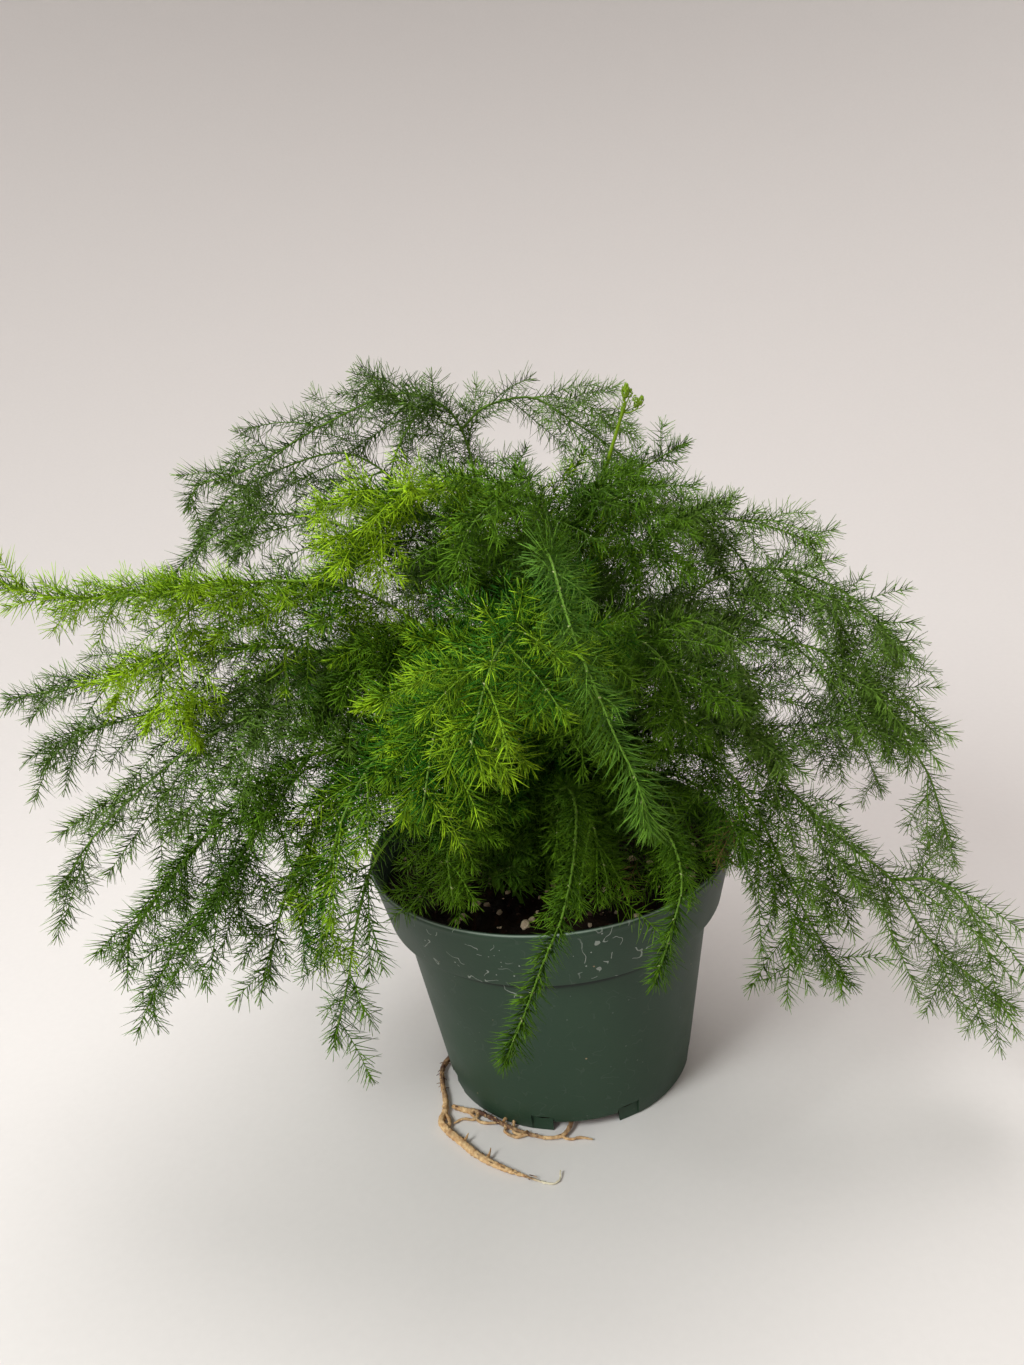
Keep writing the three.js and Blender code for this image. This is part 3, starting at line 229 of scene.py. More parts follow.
# Each frond: its green, the share of its stem that is bare, the length of its longest twigs,
# the route of its stem from its foot in the soil, and the routes of its forks, in millimetres.
FRONDS = {
    "arch_high": ("dark", 0.44, 50,
        [(0, 14, 88), (0, 30, 200), (-8, 48, 235), (-16, 58, 266), (-22, 62, 295), (-31, 60, 308),
         (-51, 54, 314), (-83, 48, 304), (-118, 42, 289), (-141, 40, 284), (-147, 38, 275)],
        [(-22, 62, 295), (-10, 66, 304), (11, 66, 306), (25, 64, 297), (43, 62, 283), (55, 60, 271),
         (65, 58, 252)],
        [(-31, 60, 308), (-42, 56, 303), (-53, 52, 287), (-59, 50, 268)]),
    "arch_left": ("dark", 0.38, 55,
        [(-9, 20, 88), (-14, 40, 194), (-34, 62, 235), (-54, 72, 270), (-79, 72, 289),
         (-113, 66, 284), (-135, 58, 274), (-147, 50, 257)]),
    "left_upper": ("dark", 0.32, 58,
        [(-17, 10, 88), (-24, 22, 191), (-45, 28, 229), (-71, 31, 257), (-102, 30, 269),
         (-123, 26, 268), (-141, 20, 259), (-156, 14, 246)]),
    "left_bright": ("bright", 0.34, 46,
        [(-20, -3, 88), (-24, -8, 190), (-38, -15, 217), (-59, -20, 238), (-82, -26, 249),
         (-116, -32, 253), (-144, -36, 253), (-178, -38, 255), (-205, -40, 267)],
        [(-116, -32, 253), (-129, -40, 246), (-140, -46, 231), (-146, -50, 208)]),
    "left_far": ("dark", 0.28, 56,
        [(-27, 2, 88), (-34, 2, 165), (-62, 0, 197), (-94, -4, 215), (-131, -6, 219),
         (-175, -8, 212), (-202, -8, 210), (-225, -8, 208)],
        [(-94, -4, 215), (-124, -14, 203), (-161, -20, 199), (-190, -24, 194), (-210, -26, 182)]),
    "left_mid": ("dark", 0.28, 56,
        [(-26, -8, 88), (-34, -12, 151), (-58, -22, 186), (-91, -32, 202), (-127, -40, 196),
         (-157, -44, 179), (-184, -46, 158), (-203, -46, 136)]),
    "left_low": ("mid", 0.26, 50,
        [(-25, -16, 88), (-32, -22, 141), (-57, -40, 176), (-89, -56, 188), (-116, -66, 176),
         (-139, -72, 156), (-161, -74, 133), (-173, -74, 116)],
        [(-89, -56, 188), (-109, -72, 166), (-129, -82, 144), (-149, -84, 121), (-161, -84, 102)]),
    "left_hang": ("mid", 0.3, 36,
        [(-20, -21, 88), (-31, -30, 134), (-57, -52, 167), (-77, -70, 174), (-93, -82, 157),
         (-104, -86, 135), (-112, -88, 111)]),
    "front_left_hang": ("mid", 0.3, 32,
        [(-14, -25, 88), (-24, -38, 132), (-45, -64, 163), (-62, -88, 160), (-72, -98, 139),
         (-78, -102, 117), (-86, -104, 94)]),
    "front_left_bright": ("bright", 0.28, 42,
        [(-14, -14, 88), (-23, -24, 154), (-39, -52, 187), (-55, -76, 196), (-69, -92, 183),
         (-79, -98, 160), (-87, -102, 128)]),
    "front_bright": ("bright", 0.28, 50,
        [(-7, -18, 88), (-10, -28, 164), (-13, -58, 207), (-18, -86, 226), (-25, -108, 229),
         (-32, -124, 219), (-39, -132, 194)]),
    "front_crest": ("bright", 0.28, 50,
        [(0, -12, 88), (-3, -20, 171), (-2, -50, 216), (-1, -84, 239), (-8, -116, 243),
         (-14, -134, 237), (-22, -144, 214)]),
    "crest": ("bright", 0.38, 44,
        [(-6, 0, 88), (-4, 2, 209), (0, 0, 248), (-3, -3, 269), (-14, -10, 277), (-33, -20, 279),
         (-55, -28, 282), (-75, -34, 280)],
        [(-33, -20, 279), (-44, -30, 278), (-58, -40, 270), (-66, -46, 260)]),
    "crest_right": ("mid", 0.4, 44,
        [(4, 8, 88), (9, 6, 207), (14, 10, 245), (19, 8, 266), (31, 0, 271), (44, -10, 264),
         (53, -20, 251), (57, -26, 236)]),
    "front_blue": ("cool", 0.34, 15,
        [(2, -4, 88), (4, -12, 185), (8, -34, 232), (9, -58, 256), (10, -84, 259),
         (12, -104, 249), (15, -118, 238), (19, -128, 227), (23, -136, 215), (28, -140, 202),
         (31, -141, 186)]),
    "front_hang": ("mid", 0.3, 7,
        [(-4, -26, 88), (-1, -36, 127), (4, -46, 154), (9, -60, 166), (11, -74, 163),
         (8, -88, 149), (2, -102, 135), (-6, -114, 125), (-14, -122, 111), (-23, -128, 95)]),
    "front_right_hang": ("mid", 0.3, 7,
        [(7, -25, 88), (12, -36, 128), (27, -60, 154), (42, -82, 156), (46, -98, 144),
         (40, -106, 127), (33, -108, 108)]),
    "back_right_high": ("mid", 0.45, 32,
        [(11, 17, 88), (20, 24, 211), (35, 36, 243), (47, 41, 262), (59, 42, 272), (77, 40, 281)]),
    "right_top": ("dark", 0.3, 52,
        [(14, 8, 88), (20, 11, 187), (38, 17, 220), (58, 20, 244), (81, 19, 250), (104, 16, 246),
         (129, 14, 235)]),
    "right_high": ("dark", 0.3, 56,
        [(20, 2, 88), (24, 2, 170), (49, 7, 202), (80, 9, 225), (109, 6, 228), (134, 2, 217),
         (150, -2, 201), (157, -6, 184)],
        [(109, 6, 228), (129, 0, 209), (143, -6, 182), (148, -12, 165)]),
    "right_mid": ("dark", 0.28, 54,
        [(27, -3, 88), (30, -6, 157), (57, -9, 184), (88, -12, 203), (120, -16, 197),
         (144, -18, 180), (169, -20, 155)],
        [(120, -16, 197), (143, -22, 170), (161, -28, 143), (170, -30, 111)]),
    "right_low": ("dark", 0.24, 52,
        [(23, -11, 88), (26, -15, 150), (48, -24, 180), (69, -31, 188), (85, -36, 173),
         (99, -44, 148), (120, -54, 126), (135, -60, 112), (150, -68, 85), (181, -74, 56)],
        [(135, -60, 112), (152, -62, 111), (165, -64, 98), (174, -66, 75)]),
    "right_hang": ("mid", 0.28, 40,
        [(17, -17, 88), (22, -22, 143), (44, -38, 166), (66, -52, 169), (81, -62, 150),
         (92, -68, 121), (103, -72, 95), (115, -74, 74)]),
    "right_back": ("dark", 0.28, 54,
        [(21, 15, 88), (26, 22, 155), (56, 44, 181), (98, 60, 192), (134, 66, 171),
         (159, 66, 131), (174, 62, 92)]),
    "low_right": ("mid", 0.2, 32,
        [(12, -22, 88), (18, -28, 112), (31, -38, 130), (48, -46, 131), (62, -52, 121)]),
    "low_left": ("mid", 0.2, 32,
        [(-12, -31, 88), (-17, -38, 111), (-30, -48, 131), (-46, -60, 133), (-58, -70, 124)]),
    "back": ("dark", 0.3, 56,
        [(3, 24, 88), (4, 50, 180), (2, 92, 226), (-6, 124, 226), (-12, 150, 194)]),
    "back_left": ("dark", 0.3, 54,
        [(-14, 26, 88), (-34, 60, 165), (-70, 98, 196), (-104, 122, 176), (-124, 134, 136)]),
    "back_right": ("dark", 0.3, 54,
        [(14, 27, 88), (30, 62, 165), (60, 100, 196), (88, 126, 172), (102, 138, 132)]),
    "left_back": ("dark", 0.3, 54,
        [(-23, 16, 88), (-48, 40, 160), (-94, 62, 196), (-138, 72, 176), (-166, 74, 132)]),
    "low_front": ("mid", 0.3, 26,
        [(1, -29, 88), (4, -38, 144), (11, -50, 156), (17, -60, 150), (20, -66, 136), (22, -70, 120)],
        [(17, -60, 150), (13, -66, 138), (9, -71, 122)]),
    "low_front_left": ("mid", 0.3, 30,
        [(-8, -27, 88), (-16, -38, 157), (-25, -51, 170), (-34, -65, 167), (-39, -74, 150),
         (-39, -78, 131)]),
    "low_front_right": ("mid", 0.3, 32,
        [(14, -28, 88), (23, -34, 151), (38, -44, 163), (49, -52, 154), (52, -57, 136),
         (48, -60, 119)]),
    "low_right_side": ("mid", 0.3, 34,
        [(26, -18, 88), (33, -20, 139), (53, -26, 152), (70, -30, 140), (82, -32, 116)]),
    "inner_left_bright": ("bright", 0.3, 42,
        [(-12, -6, 88), (-15, -24, 192), (-26, -52, 221), (-39, -74, 219), (-48, -84, 199)]),
    "inner_front_bright": ("bright", 0.3, 44,
        [(-1, -19, 88), (4, -34, 192), (2, -66, 226), (-9, -92, 224), (-18, -102, 203)]),
    "inner_front": ("mid", 0.3, 44,
        [(6, -17, 88), (10, -34, 193), (16, -64, 226), (18, -88, 224), (13, -100, 201)]),
    "inner_right": ("mid", 0.3, 44,
        [(11, -10, 88), (23, -20, 186), (38, -46, 218), (50, -64, 211), (55, -72, 186)]),
    "inner_far_right": ("dark", 0.3, 46,
        [(20, -6, 88), (33, -8, 186), (57, -20, 218), (77, -32, 210), (90, -38, 182)]),
    "inner_far_left": ("mid", 0.3, 46,
        [(-19, -15, 88), (-24, -14, 189), (-45, -26, 221), (-69, -38, 219), (-87, -44, 196)]),
    "inner_low_right": ("dark", 0.28, 44,
        [(28, -12, 88), (36, -12, 154), (63, -24, 179), (87, -32, 166), (101, -36, 137)]),
    "inner_low_left": ("mid", 0.28, 44,
        [(-24, -20, 88), (-30, -26, 163), (-50, -44, 192), (-74, -54, 183), (-91, -58, 159)]),
    "crest_left": ("mid", 0.4, 42,
        [(-11, 4, 88), (-7, 2, 227), (-20, -6, 260), (-45, -12, 268), (-70, -14, 257), (-84, -14, 239)]),
    "crest_front": ("mid", 0.38, 44,
        [(0, 5, 88), (8, 2, 226), (12, -10, 262), (2, -34, 277), (-15, -54, 272), (-26, -62, 254)]),
    "crest_back": ("dark", 0.4, 46,
        [(8, 13, 88), (25, 17, 216), (45, 25, 250), (69, 31, 254), (95, 35, 234), (109, 36, 207)]),
    "back_middle": ("dark", 0.34, 50,
        [(-5, 24, 88), (-4, 46, 206), (-10, 72, 236), (-33, 92, 239), (-60, 102, 219)]),
}

# The young shoot, in millimetres: its route, and its radius at the foot and at the top
SHOOT_ROUTE = [(-3, 12, 88), (2, 8, 150), (22, 14, 230), (49, 18, 302)]
SHOOT_RADII = (1.1, 0.75)
# Stalks of its head, from the top of the spear: route and radius
SHOOT_STALKS = [
    ([(-0.4, 0, -3.8), (0, 0.1, -1), (1.3, 0.3, 1.2), (2.3, 0.4, 3)], 0.42),
    ([(-0.3, 0, -3.8), (2, -0.4, -3.6), (4.6, -0.8, -2.6), (6.2, -0.9, -0.6)], 0.42),
    ([(-0.4, 0, -3.8), (-1.2, 0.8, -2.6), (-2.8, 1, -1.6), (-4, 1.3, -0.6)], 0.3),
    ([(4.6, -0.8, -2.7), (6.2, -0.7, -2.4), (8.2, -0.6, -1.2)], 0.24),
]
# Buds of its head: foot and top from the top of the spear, greatest width and number of scales
SHOOT_BUDS = [
    ((-0.7, 0, -4), (-0.1, 0, 3.6), 2.3, 18),
    ((0, 0, 1.8), (1.3, 0, 8.6), 3.5, 40),
    ((1.9, 0.3, 2), (3, 0.3, 6), 2.4, 22),
    ((3.2, 0, 0.6), (4.9, -0.2, 3.4), 1.9, 16),
    ((4.2, -0.6, -2.4), (5.2, -0.6, 2.2), 2.6, 24),
    ((5.7, -0.9, -1.6), (7.4, -1, 2.9), 2.8, 28),
    ((-3.6, 1.2, -0.9), (-4.8, 1.5, 1), 1.3, 10),
    ((2, 2, -2), (2.6, 3.6, 1.6), 1.6, 12),
]
SHOOT_YOUTH = 0.2
STALK_YOUTH = 0.35
# Scales of a bud: their lean, length, place and width, over the bud's length and width
BUD_TURN_JITTER = 0.15
BUD_LEAN = 0.5
BUD_LEAN_JITTER = 0.12
BUD_SCALE_LENGTH = 0.26
BUD_SCALE_SHORTENING = 0.06
BUD_SCALE_RANGE = (0.7, 1.3)
BUD_SCALE_ZONE = 0.78
BUD_SCALE_WIDTH = 0.62
BUD_LEAST_BULGE = 0.14
BUD_BULGE = 0.2
# Scales down the spear: share of its length, turn round it and size
SHOOT_SCALES = [(0.3, 0.4, 3.6), (0.5, 3.1, 4), (0.66, 5.2, 4), (0.8, 0.2, 3.6), (0.91, 1.2, 3.2)]

# Roots, in millimetres: their lowest level, and each one's centre line with radii at even steps along it
ROOT_LOWEST = 0.05
LONG_ROOT = [
    ([(-50.8, -4, 3), (-58, -5, 2.7), (-62, -11, 1.9), (-61.6, -22, 1.7), (-59.6, -33, 1.7),
      (-59.4, -41, 1.8), (-60.8, -47, 1.8), (-58, -52.5, 1.7), (-52.6, -59, 1.7), (-43.5, -69.5, 1.7),
      (-33, -77.5, 1.5), (-22, -83.5, 1.2), (-13.5, -87.5, 0.9), (-9.6, -86, 0.9), (-8.8, -81.5, 1.6)],
     (1.3, 1.15, 1.0, 1.1, 1.2, 1.3, 1.6, 1.6, 1.45, 1.3, 1.1, 0.4, 0.35, 0.25)),
    ([(-50.5, -61.5, 1.8), (-49.2, -59.9, 2.8), (-48, -58.2, 3.8)], (0.9, 0.55, 0.2)),
    ([(-40, -72.2, 1.7), (-38.6, -70, 2.8), (-38, -68, 3.8)], (1.2, 0.6, 0.2)),
    ([(-59.4, -42, 1.8), (-57.2, -46.5, 1.7), (-57, -50, 1.7), (-57.8, -53.5, 1.7)], (0.8, 0.8, 0.8, 0.7)),
]
ROOT_TANGLE = [
    ([(-2, -50.8, 3), (-3, -57.5, 2.6), (-7, -62, 1.6), (-14, -62.3, 1.5), (-22, -59, 1.5),
      (-31, -53.4, 1.6), (-43.6, -43.2, 1.5), (-50, -41, 1.4), (-56, -37.5, 1.2)],
     (1.1, 0.95, 0.65, 0.7, 0.75, 0.9, 0.8, 1.2, 0.9)),
    ([(-22, -59, 1.5), (-27, -60, 1.2), (-32, -56.5, 1.3), (-31, -53.4, 1.6)], (0.8, 0.7, 0.6)),
    ([(-7, -62, 1.6), (-4, -64, 1.1), (1, -63.4, 1), (6, -65, 1)], (0.7, 0.55, 0.6, 0.3)),
    ([(-43.6, -43.2, 1.5), (-46, -47, 1.2), (-51, -46, 1.1), (-55, -48, 1)], (0.7, 0.6, 0.4)),
    ([(-49.4, -41, 1.4), (-46, -45.4, 1.1), (-43.4, -48.6, 1.1), (-40.4, -50, 1.4), (-36, -51, 1.7)],
     (0.7, 0.6, 0.7, 0.5)),
    ([(-31.6, -54, 1.2), (-32.4, -50.6, 2), (-30.2, -48.8, 2.6), (-27.9, -50.6, 2.4), (-28.4, -54.6, 1.4)],
     (0.7, 0.65, 0.75, 0.6)),
    ([(-28.6, -56.4, 1.2), (-26.4, -58.8, 1.7), (-24.8, -60, 2), (-22.2, -57.4, 1.4)], (0.6, 0.75, 0.6)),
]
# Knobs on the roots: place along the first line, way out from it, and size
LONG_ROOT_KNOBS = [(0.335, 0.9, 1.1), (0.4, -0.8, 0.8), (0.45, 0.7, 1), (0.54, -0.8, 1.1), (0.58, 0.8, 0.9),
                   (0.62, 0.9, 1.1), (0.65, -0.8, 1.2), (0.7, 0.7, 1), (0.74, -0.6, 1), (0.79, 0.6, 0.8)]
TANGLE_KNOBS = [(0.93, 0.5, 1.3), (0.97, -0.5, 1.2), (0.42, 0.6, 1.0), (0.3, -0.5, 1.0)]

# Camera, at the photograph's viewing angle
CAMERA_PLACE = Vector((0.0, -0.42383, 0.33146))
CAMERA_RIGHT = Vector((0.99506409, -0.01035227, -0.09869291))
CAMERA_UP = Vector((0.09690507, 0.31558839, 0.94393505))
CAMERA_FORWARD = Vector((-0.02137446, 0.94883971, -0.31503386))
CAMERA_LENS = 27.02
CAMERA_SENSOR = 36
# Lights: name, size, place and colour, and the place that all are aimed at
LIGHTS = (
    ("key", 0.6, (-0.95, -0.95, 1.2), (0.92, 0.99, 0.97)),
    ("fill", 1.1, (1.1, -0.8, 0.9), (1.0, 0.96, 0.9)),
    ("top", 1.1, (0.1, 0.4, 1.6), (1.0, 0.99, 0.97)),
)
LIGHT_AIM = Vector((0.0, 0.0, 0.16))
SKY_COLOUR = (1.0, 0.98, 0.97, 1.0)


# Lines and meshes

def draw_from(seed):
    """A seeded stream of numbers from 0 to 1, the same as in the solids."""
    state = seed
    while True:
        state = (state * 1664525 + 1013904223) % 2**32
        yield state / 2**32


class Line:
    """A line through space, in millimetres, measured along its length."""

    def __init__(self, points):
        self.points = np.asarray(points, float)
        steps = np.linalg.norm(np.diff(self.points, axis=0), axis=1)
        self.run = np.concatenate([[0.0], np.cumsum(steps)])
        self.length = self.run[-1]

    def at(self, share):
        distance = np.asarray(share) * self.length
        return np.stack([np.interp(distance, self.run, self.points[:, k]) for k in range(3)], axis=-1)

    def along(self, share, reach=0.01):
        share = np.asarray(share)
        step = self.at(np.minimum(share + reach, 1)) - self.at(np.maximum(share - reach, 0))
        return step / np.linalg.norm(step, axis=-1, keepdims=True)


def smooth_line(points, steps_per_span=14):
    """A smooth curve through the points, by the same rule as the solids' curves."""
    given = np.array(points, float)
    ends = np.vstack([2 * given[0] - given[1], given, 2 * given[-1] - given[-2]])
    made = []
    for before, start, end, after in zip(ends, ends[1:], ends[2:], ends[3:]):
        t = np.linspace(0, 1, steps_per_span, endpoint=False)[:, None]
        leave, arrive = (end - before) / 2, (after - start) / 2
        made.append((2 * t**3 - 3 * t**2 + 1) * start + (t**3 - 2 * t**2 + t) * leave
                    + (3 * t**2 - 2 * t**3) * end + (t**3 - t**2) * arrive)
    return Line(np.vstack([*made, given[-1:]]))


def unit(vectors):
    return vectors / np.linalg.norm(vectors, axis=-1, keepdims=True)


def square_to(along):
    """Two directions square to each given one and to each other."""
    steep = np.abs(along[..., 2:]) > 0.9
    across = unit(np.cross(along, np.where(steep, np.array([1.0, 0, 0]), UP)))
    return across, np.cross(along, across)


def tube(points, radii, sides):
    """A closed tapered tube along a few points, as its points and triangles."""
    count = len(points)
    along = unit(np.gradient(points, axis=0))
    across = [square_to(along[0])[0]]
    for direction in along[1:]:
        kept = across[-1] - direction * (across[-1] @ direction)
        across.append(unit(kept))
    across = np.array(across)
    over = np.cross(along, across)
    turn = np.linspace(0, 2 * math.pi, sides, endpoint=False)
    ring = np.cos(turn)[None, :, None] * across[:, None] + np.sin(turn)[None, :, None] * over[:, None]
    around = (points[:, None] + ring * np.asarray(radii)[:, None, None]).reshape(-1, 3)
    poles = np.array([points[0], points[-1] + along[-1] * radii[-1]])
    side = np.arange(sides)
    after = (side + 1) % sides
    triangles = []
    for row in range(count - 1):
        low, high = row * sides, (row + 1) * sides
        triangles.append(np.stack([low + side, low + after, high + after], axis=-1))
        triangles.append(np.stack([low + side, high + after, high + side], axis=-1))
    first, last = count * sides, count * sides + 1
    final = (count - 1) * sides
    triangles.append(np.stack([after, side, np.full(sides, first)], axis=-1))
    triangles.append(np.stack([final + side, final + after, np.full(sides, last)], axis=-1))
    return np.vstack([around, poles]), np.vstack(triangles)


class Shape:
    """Points and triangles of one piece as it grows, with a value of each finish for each point."""

    def __init__(self, *finishes):
        self.points, self.triangles, self.count = [], [], 0
        self.values = {name: [] for name in finishes}

    def add(self, points, triangles, **values):
        self.points.append(points)
        self.triangles.append(triangles + self.count)
        self.count += len(points)
        for name, found in self.values.items():
            found.append(np.broadcast_to(np.asarray(values.get(name, 0.0), float), len(points)))

    def build(self, name, material, smooth=True):
        points = np.vstack(self.points) * MM
        triangles = np.vstack(self.triangles).astype(np.int32)
        mesh = bpy.data.meshes.new(name)
        mesh.vertices.add(len(points))
        mesh.vertices.foreach_set("co", points.astype(np.float32).ravel())
        mesh.loops.add(triangles.size)
        mesh.loops.foreach_set("vertex_index", triangles.ravel())
        mesh.polygons.add(len(triangles))
        mesh.polygons.foreach_set("loop_start", np.arange(0, triangles.size, 3, dtype=np.int32))
        mesh.polygons.foreach_set("use_smooth", np.full(len(triangles), smooth))
        for finish, found in self.values.items():
            attribute = mesh.attributes.new(finish, "FLOAT", "POINT")
            attribute.data.foreach_set("value", np.concatenate(found).astype(np.float32))
        mesh.materials.append(material)
        mesh.update(calc_edges=True)
        mesh.validate()
        piece = bpy.data.objects.new(name, mesh)
        bpy.context.scene.collection.objects.link(piece)
        return piece


def deselect_all():
    if bpy.context.object and bpy.context.object.mode != "OBJECT":
        bpy.ops.object.mode_set(mode="OBJECT")
    bpy.ops.object.select_all(action="DESELECT")


def only(piece):
    """Make one piece the active and only selected one."""
    deselect_all()
    piece.select_set(True)
    bpy.context.view_layer.objects.active = piece
    return piece


def named(piece, name, material):
    piece.name = name
    piece.data.name = name
    piece.data.materials.clear()
    piece.data.materials.append(material)
    return piece


def finish_piece(piece, slot, *nodes):
    """Ride the piece on the body, and hide the nodes that it stands for. The slot is not used."""
    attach(piece, BODY)
    if nodes:
        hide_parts(*nodes)
    return piece


def spun(name, profile, steps):
    """A closed body of revolution round the Z axis, spun from a profile that meets the axis twice."""
    mesh = bpy.data.meshes.new(name)
    edges = [(i, i + 1) for i in range(len(profile) - 1)]
    mesh.from_pydata([(radius, 0.0, height) for radius, height in profile], edges, [])
    piece = bpy.data.objects.new(name, mesh)
    bpy.context.scene.collection.objects.link(piece)
    only(piece)
    bpy.ops.object.mode_set(mode="EDIT")
    bpy.ops.mesh.select_all(action="SELECT")
    bpy.ops.mesh.spin(steps=steps, angle=2 * math.pi, center=(0, 0, 0), axis=(0, 0, 1))
    bpy.ops.mesh.select_all(action="SELECT")
    bpy.ops.mesh.remove_doubles(threshold=0.00001)
    bpy.ops.mesh.normals_make_consistent(inside=False)
    bpy.ops.object.mode_set(mode="OBJECT")
    return piece


def apply_modifier(piece, kind, **settings):
    only(piece)
    modifier = piece.modifiers.new(kind.title(), kind)
    for name, value in settings.items():
        setattr(modifier, name, value)
    bpy.ops.object.modifier_apply(modifier=modifier.name)


def joined(pieces):
    deselect_all()
    for piece in pieces:
        piece.select_set(True)
    bpy.context.view_layer.objects.active = pieces[0]
    bpy.ops.object.join()
    return bpy.context.object


def cut(piece, cutters):
    """Cut the joined cutters out of the piece, and remove them."""
    tool = joined(cutters)
    apply_modifier(piece, "BOOLEAN", operation="DIFFERENCE", solver="EXACT", object=tool)
    bpy.data.objects.remove(tool)


# Node trees

def node(tree, kind, inputs=(), **settings):
    """Add a node. Each input is a value, or a socket that is linked to it."""
    made = tree.nodes.new("ShaderNode" + kind)
    for name, value in settings.items():
        setattr(made, name, value)
    for name, value in dict(inputs).items():
        if isinstance(value, bpy.types.NodeSocket):
            tree.links.new(value, made.inputs[name])
        else:
            made.inputs[name].default_value = value
    return made


def blended(tree, factor, first, second):
    """A mix of two colours."""
    made = node(tree, "Mix", {0: factor, 6: first, 7: second}, data_type="RGBA")
    return made.outputs[2]


def calculated(tree, operation, first, second=0.0, clamp=False):
    made = node(tree, "Math", {0: first, 1: second}, operation=operation, use_clamp=clamp)
    return made.outputs[0]


def ranged(tree, value, low, high, to_low=0.0, to_high=1.0):
    made = node(tree, "MapRange", {"Value": value, "From Min": low, "From Max": high,
                                   "To Min": to_low, "To Max": to_high})
    return made.outputs["Result"]


def object_place(tree, scale=(1.0, 1.0, 1.0)):
    place = node(tree, "TexCoord").outputs["Object"]
    return node(tree, "Mapping", {"Vector": place, "Scale": scale}).outputs["Vector"]


def noise(tree, vector, scale, detail=2.0, roughness=0.5):
    made = node(tree, "TexNoise", {"Vector": vector, "Scale": scale, "Detail": detail,
                                   "Roughness": roughness})
    return made.outputs["Fac"]


def shader_group(name, inputs, outputs, wire):
    """A shared effect, built once: wire links its inner nodes."""
    if name in bpy.data.node_groups:
        return bpy.data.node_groups[name]
    tree = bpy.data.node_groups.new(name, "ShaderNodeTree")
    for label, (kind, value) in inputs.items():
        socket = tree.interface.new_socket(label, in_out="INPUT", socket_type="NodeSocket" + kind)
        socket.default_value = value
    for label, kind in outputs.items():
        tree.interface.new_socket(label, in_out="OUTPUT", socket_type="NodeSocket" + kind)
    source = tree.nodes.new("NodeGroupInput").outputs
    target = tree.nodes.new("NodeGroupOutput").inputs
    for label, socket in wire(tree, source).items():
        tree.links.new(socket, target[label])
    return tree


def place_group(tree, group, **values):
    """Put a shared effect into a material with its own values."""
    made = tree.nodes.new("ShaderNodeGroup")
    made.node_tree = group
    for label, value in values.items():
        socket = made.inputs[label.replace("_", " ")]
        if isinstance(value, bpy.types.NodeSocket):
            tree.links.new(value, socket)
        else:
            socket.default_value = value
    return made.outputs


def hairlines():
    """Fine curved scratches and fibres: thin level lines of a noise, in scattered places."""
    def wire(tree, given):
        place = object_place(tree)
        field = noise(tree, place, given["Scale"], detail=1.5)
        off = calculated(tree, "ABSOLUTE", calculated(tree, "SUBTRACT", field, 0.5))
        line = calculated(tree, "LESS_THAN", off, given["Width"])
        where = noise(tree, place, calculated(tree, "MULTIPLY", given["Scale"], 1.7), detail=0.0)
        kept = calculated(tree, "GREATER_THAN", where, calculated(tree, "SUBTRACT", 1.0, given["Share"]))
        return {"Mask": calculated(tree, "MULTIPLY", line, kept)}
    inputs = {"Scale": ("Float", 40.0), "Width": ("Float", 0.002), "Share": ("Float", 0.4)}
    return shader_group("Hairlines", inputs, {"Mask": "Float"}, wire)


def specks():
    """Small round grains of dust, in some of the cells of a scatter."""
    def wire(tree, given):
        cells = node(tree, "TexVoronoi", {"Vector": object_place(tree), "Scale": given["Scale"]})
        near = calculated(tree, "LESS_THAN", cells.outputs["Distance"], given["Size"])
        chance = node(tree, "SeparateColor", {"Color": cells.outputs["Color"]}).outputs["Red"]
        kept = calculated(tree, "LESS_THAN", chance, given["Share"])
        return {"Mask": calculated(tree, "MULTIPLY", near, kept)}
    inputs = {"Scale": ("Float", 300.0), "Size": ("Float", 0.15), "Share": ("Float", 0.2)}
    return shader_group("Specks", inputs, {"Mask": "Float"}, wire)


def patches():
    """Soft uneven patches, for faded, stained and mottled surfaces."""
    def wire(tree, given):
        field = noise(tree, object_place(tree), given["Scale"], detail=4.0, roughness=0.6)
        return {"Value": ranged(tree, field, 0.3, 0.7)}
    return shader_group("Patches", {"Scale": ("Float", 30.0)}, {"Value": "Float"}, wire)


def foliage_tint():
    """Green of needles and stems, by their age, with pale bracts and dry needles."""
    def wire(tree, given):
        def mark(name):
            return node(tree, "Attribute", attribute_name=name).outputs["Fac"]
        mottle = noise(tree, object_place(tree), given["Mottle"], detail=2.0)
        shift = ranged(tree, mottle, 0.3, 0.7, -0.14, 0.14)
        age = calculated(tree, "ADD", mark("youth"), shift, clamp=True)
        green = blended(tree, age, given["Old"], given["Young"])
        stem = blended(tree, age, given["Stem"], given["Young"])
        colour = blended(tree, mark("wood"), green, stem)
        colour = blended(tree, mark("pale"), colour, given["Bract"])
        colour = blended(tree, mark("dry"), colour, given["Dry"])
        return {"Color": colour, "Roughness": ranged(tree, mottle, 0.3, 0.7, 0.42, 0.6)}
    inputs = {"Mottle": ("Float", 55.0), "Old": ("Color", (0, 0, 0, 1)), "Young": ("Color", (0, 0, 0, 1)),
              "Stem": ("Color", (0, 0, 0, 1)), "Bract": ("Color", (0, 0, 0, 1)),
              "Dry": ("Color", (0, 0, 0, 1))}
    return shader_group("Foliage tint", inputs, {"Color": "Color", "Roughness": "Float"}, wire)


def new_material(name):
    """A material with its principled shader, and its node tree."""
    material = bpy.data.materials.new(name)
    material.use_nodes = True
    tree = material.node_tree
    return material, tree, tree.nodes["Principled BSDF"]


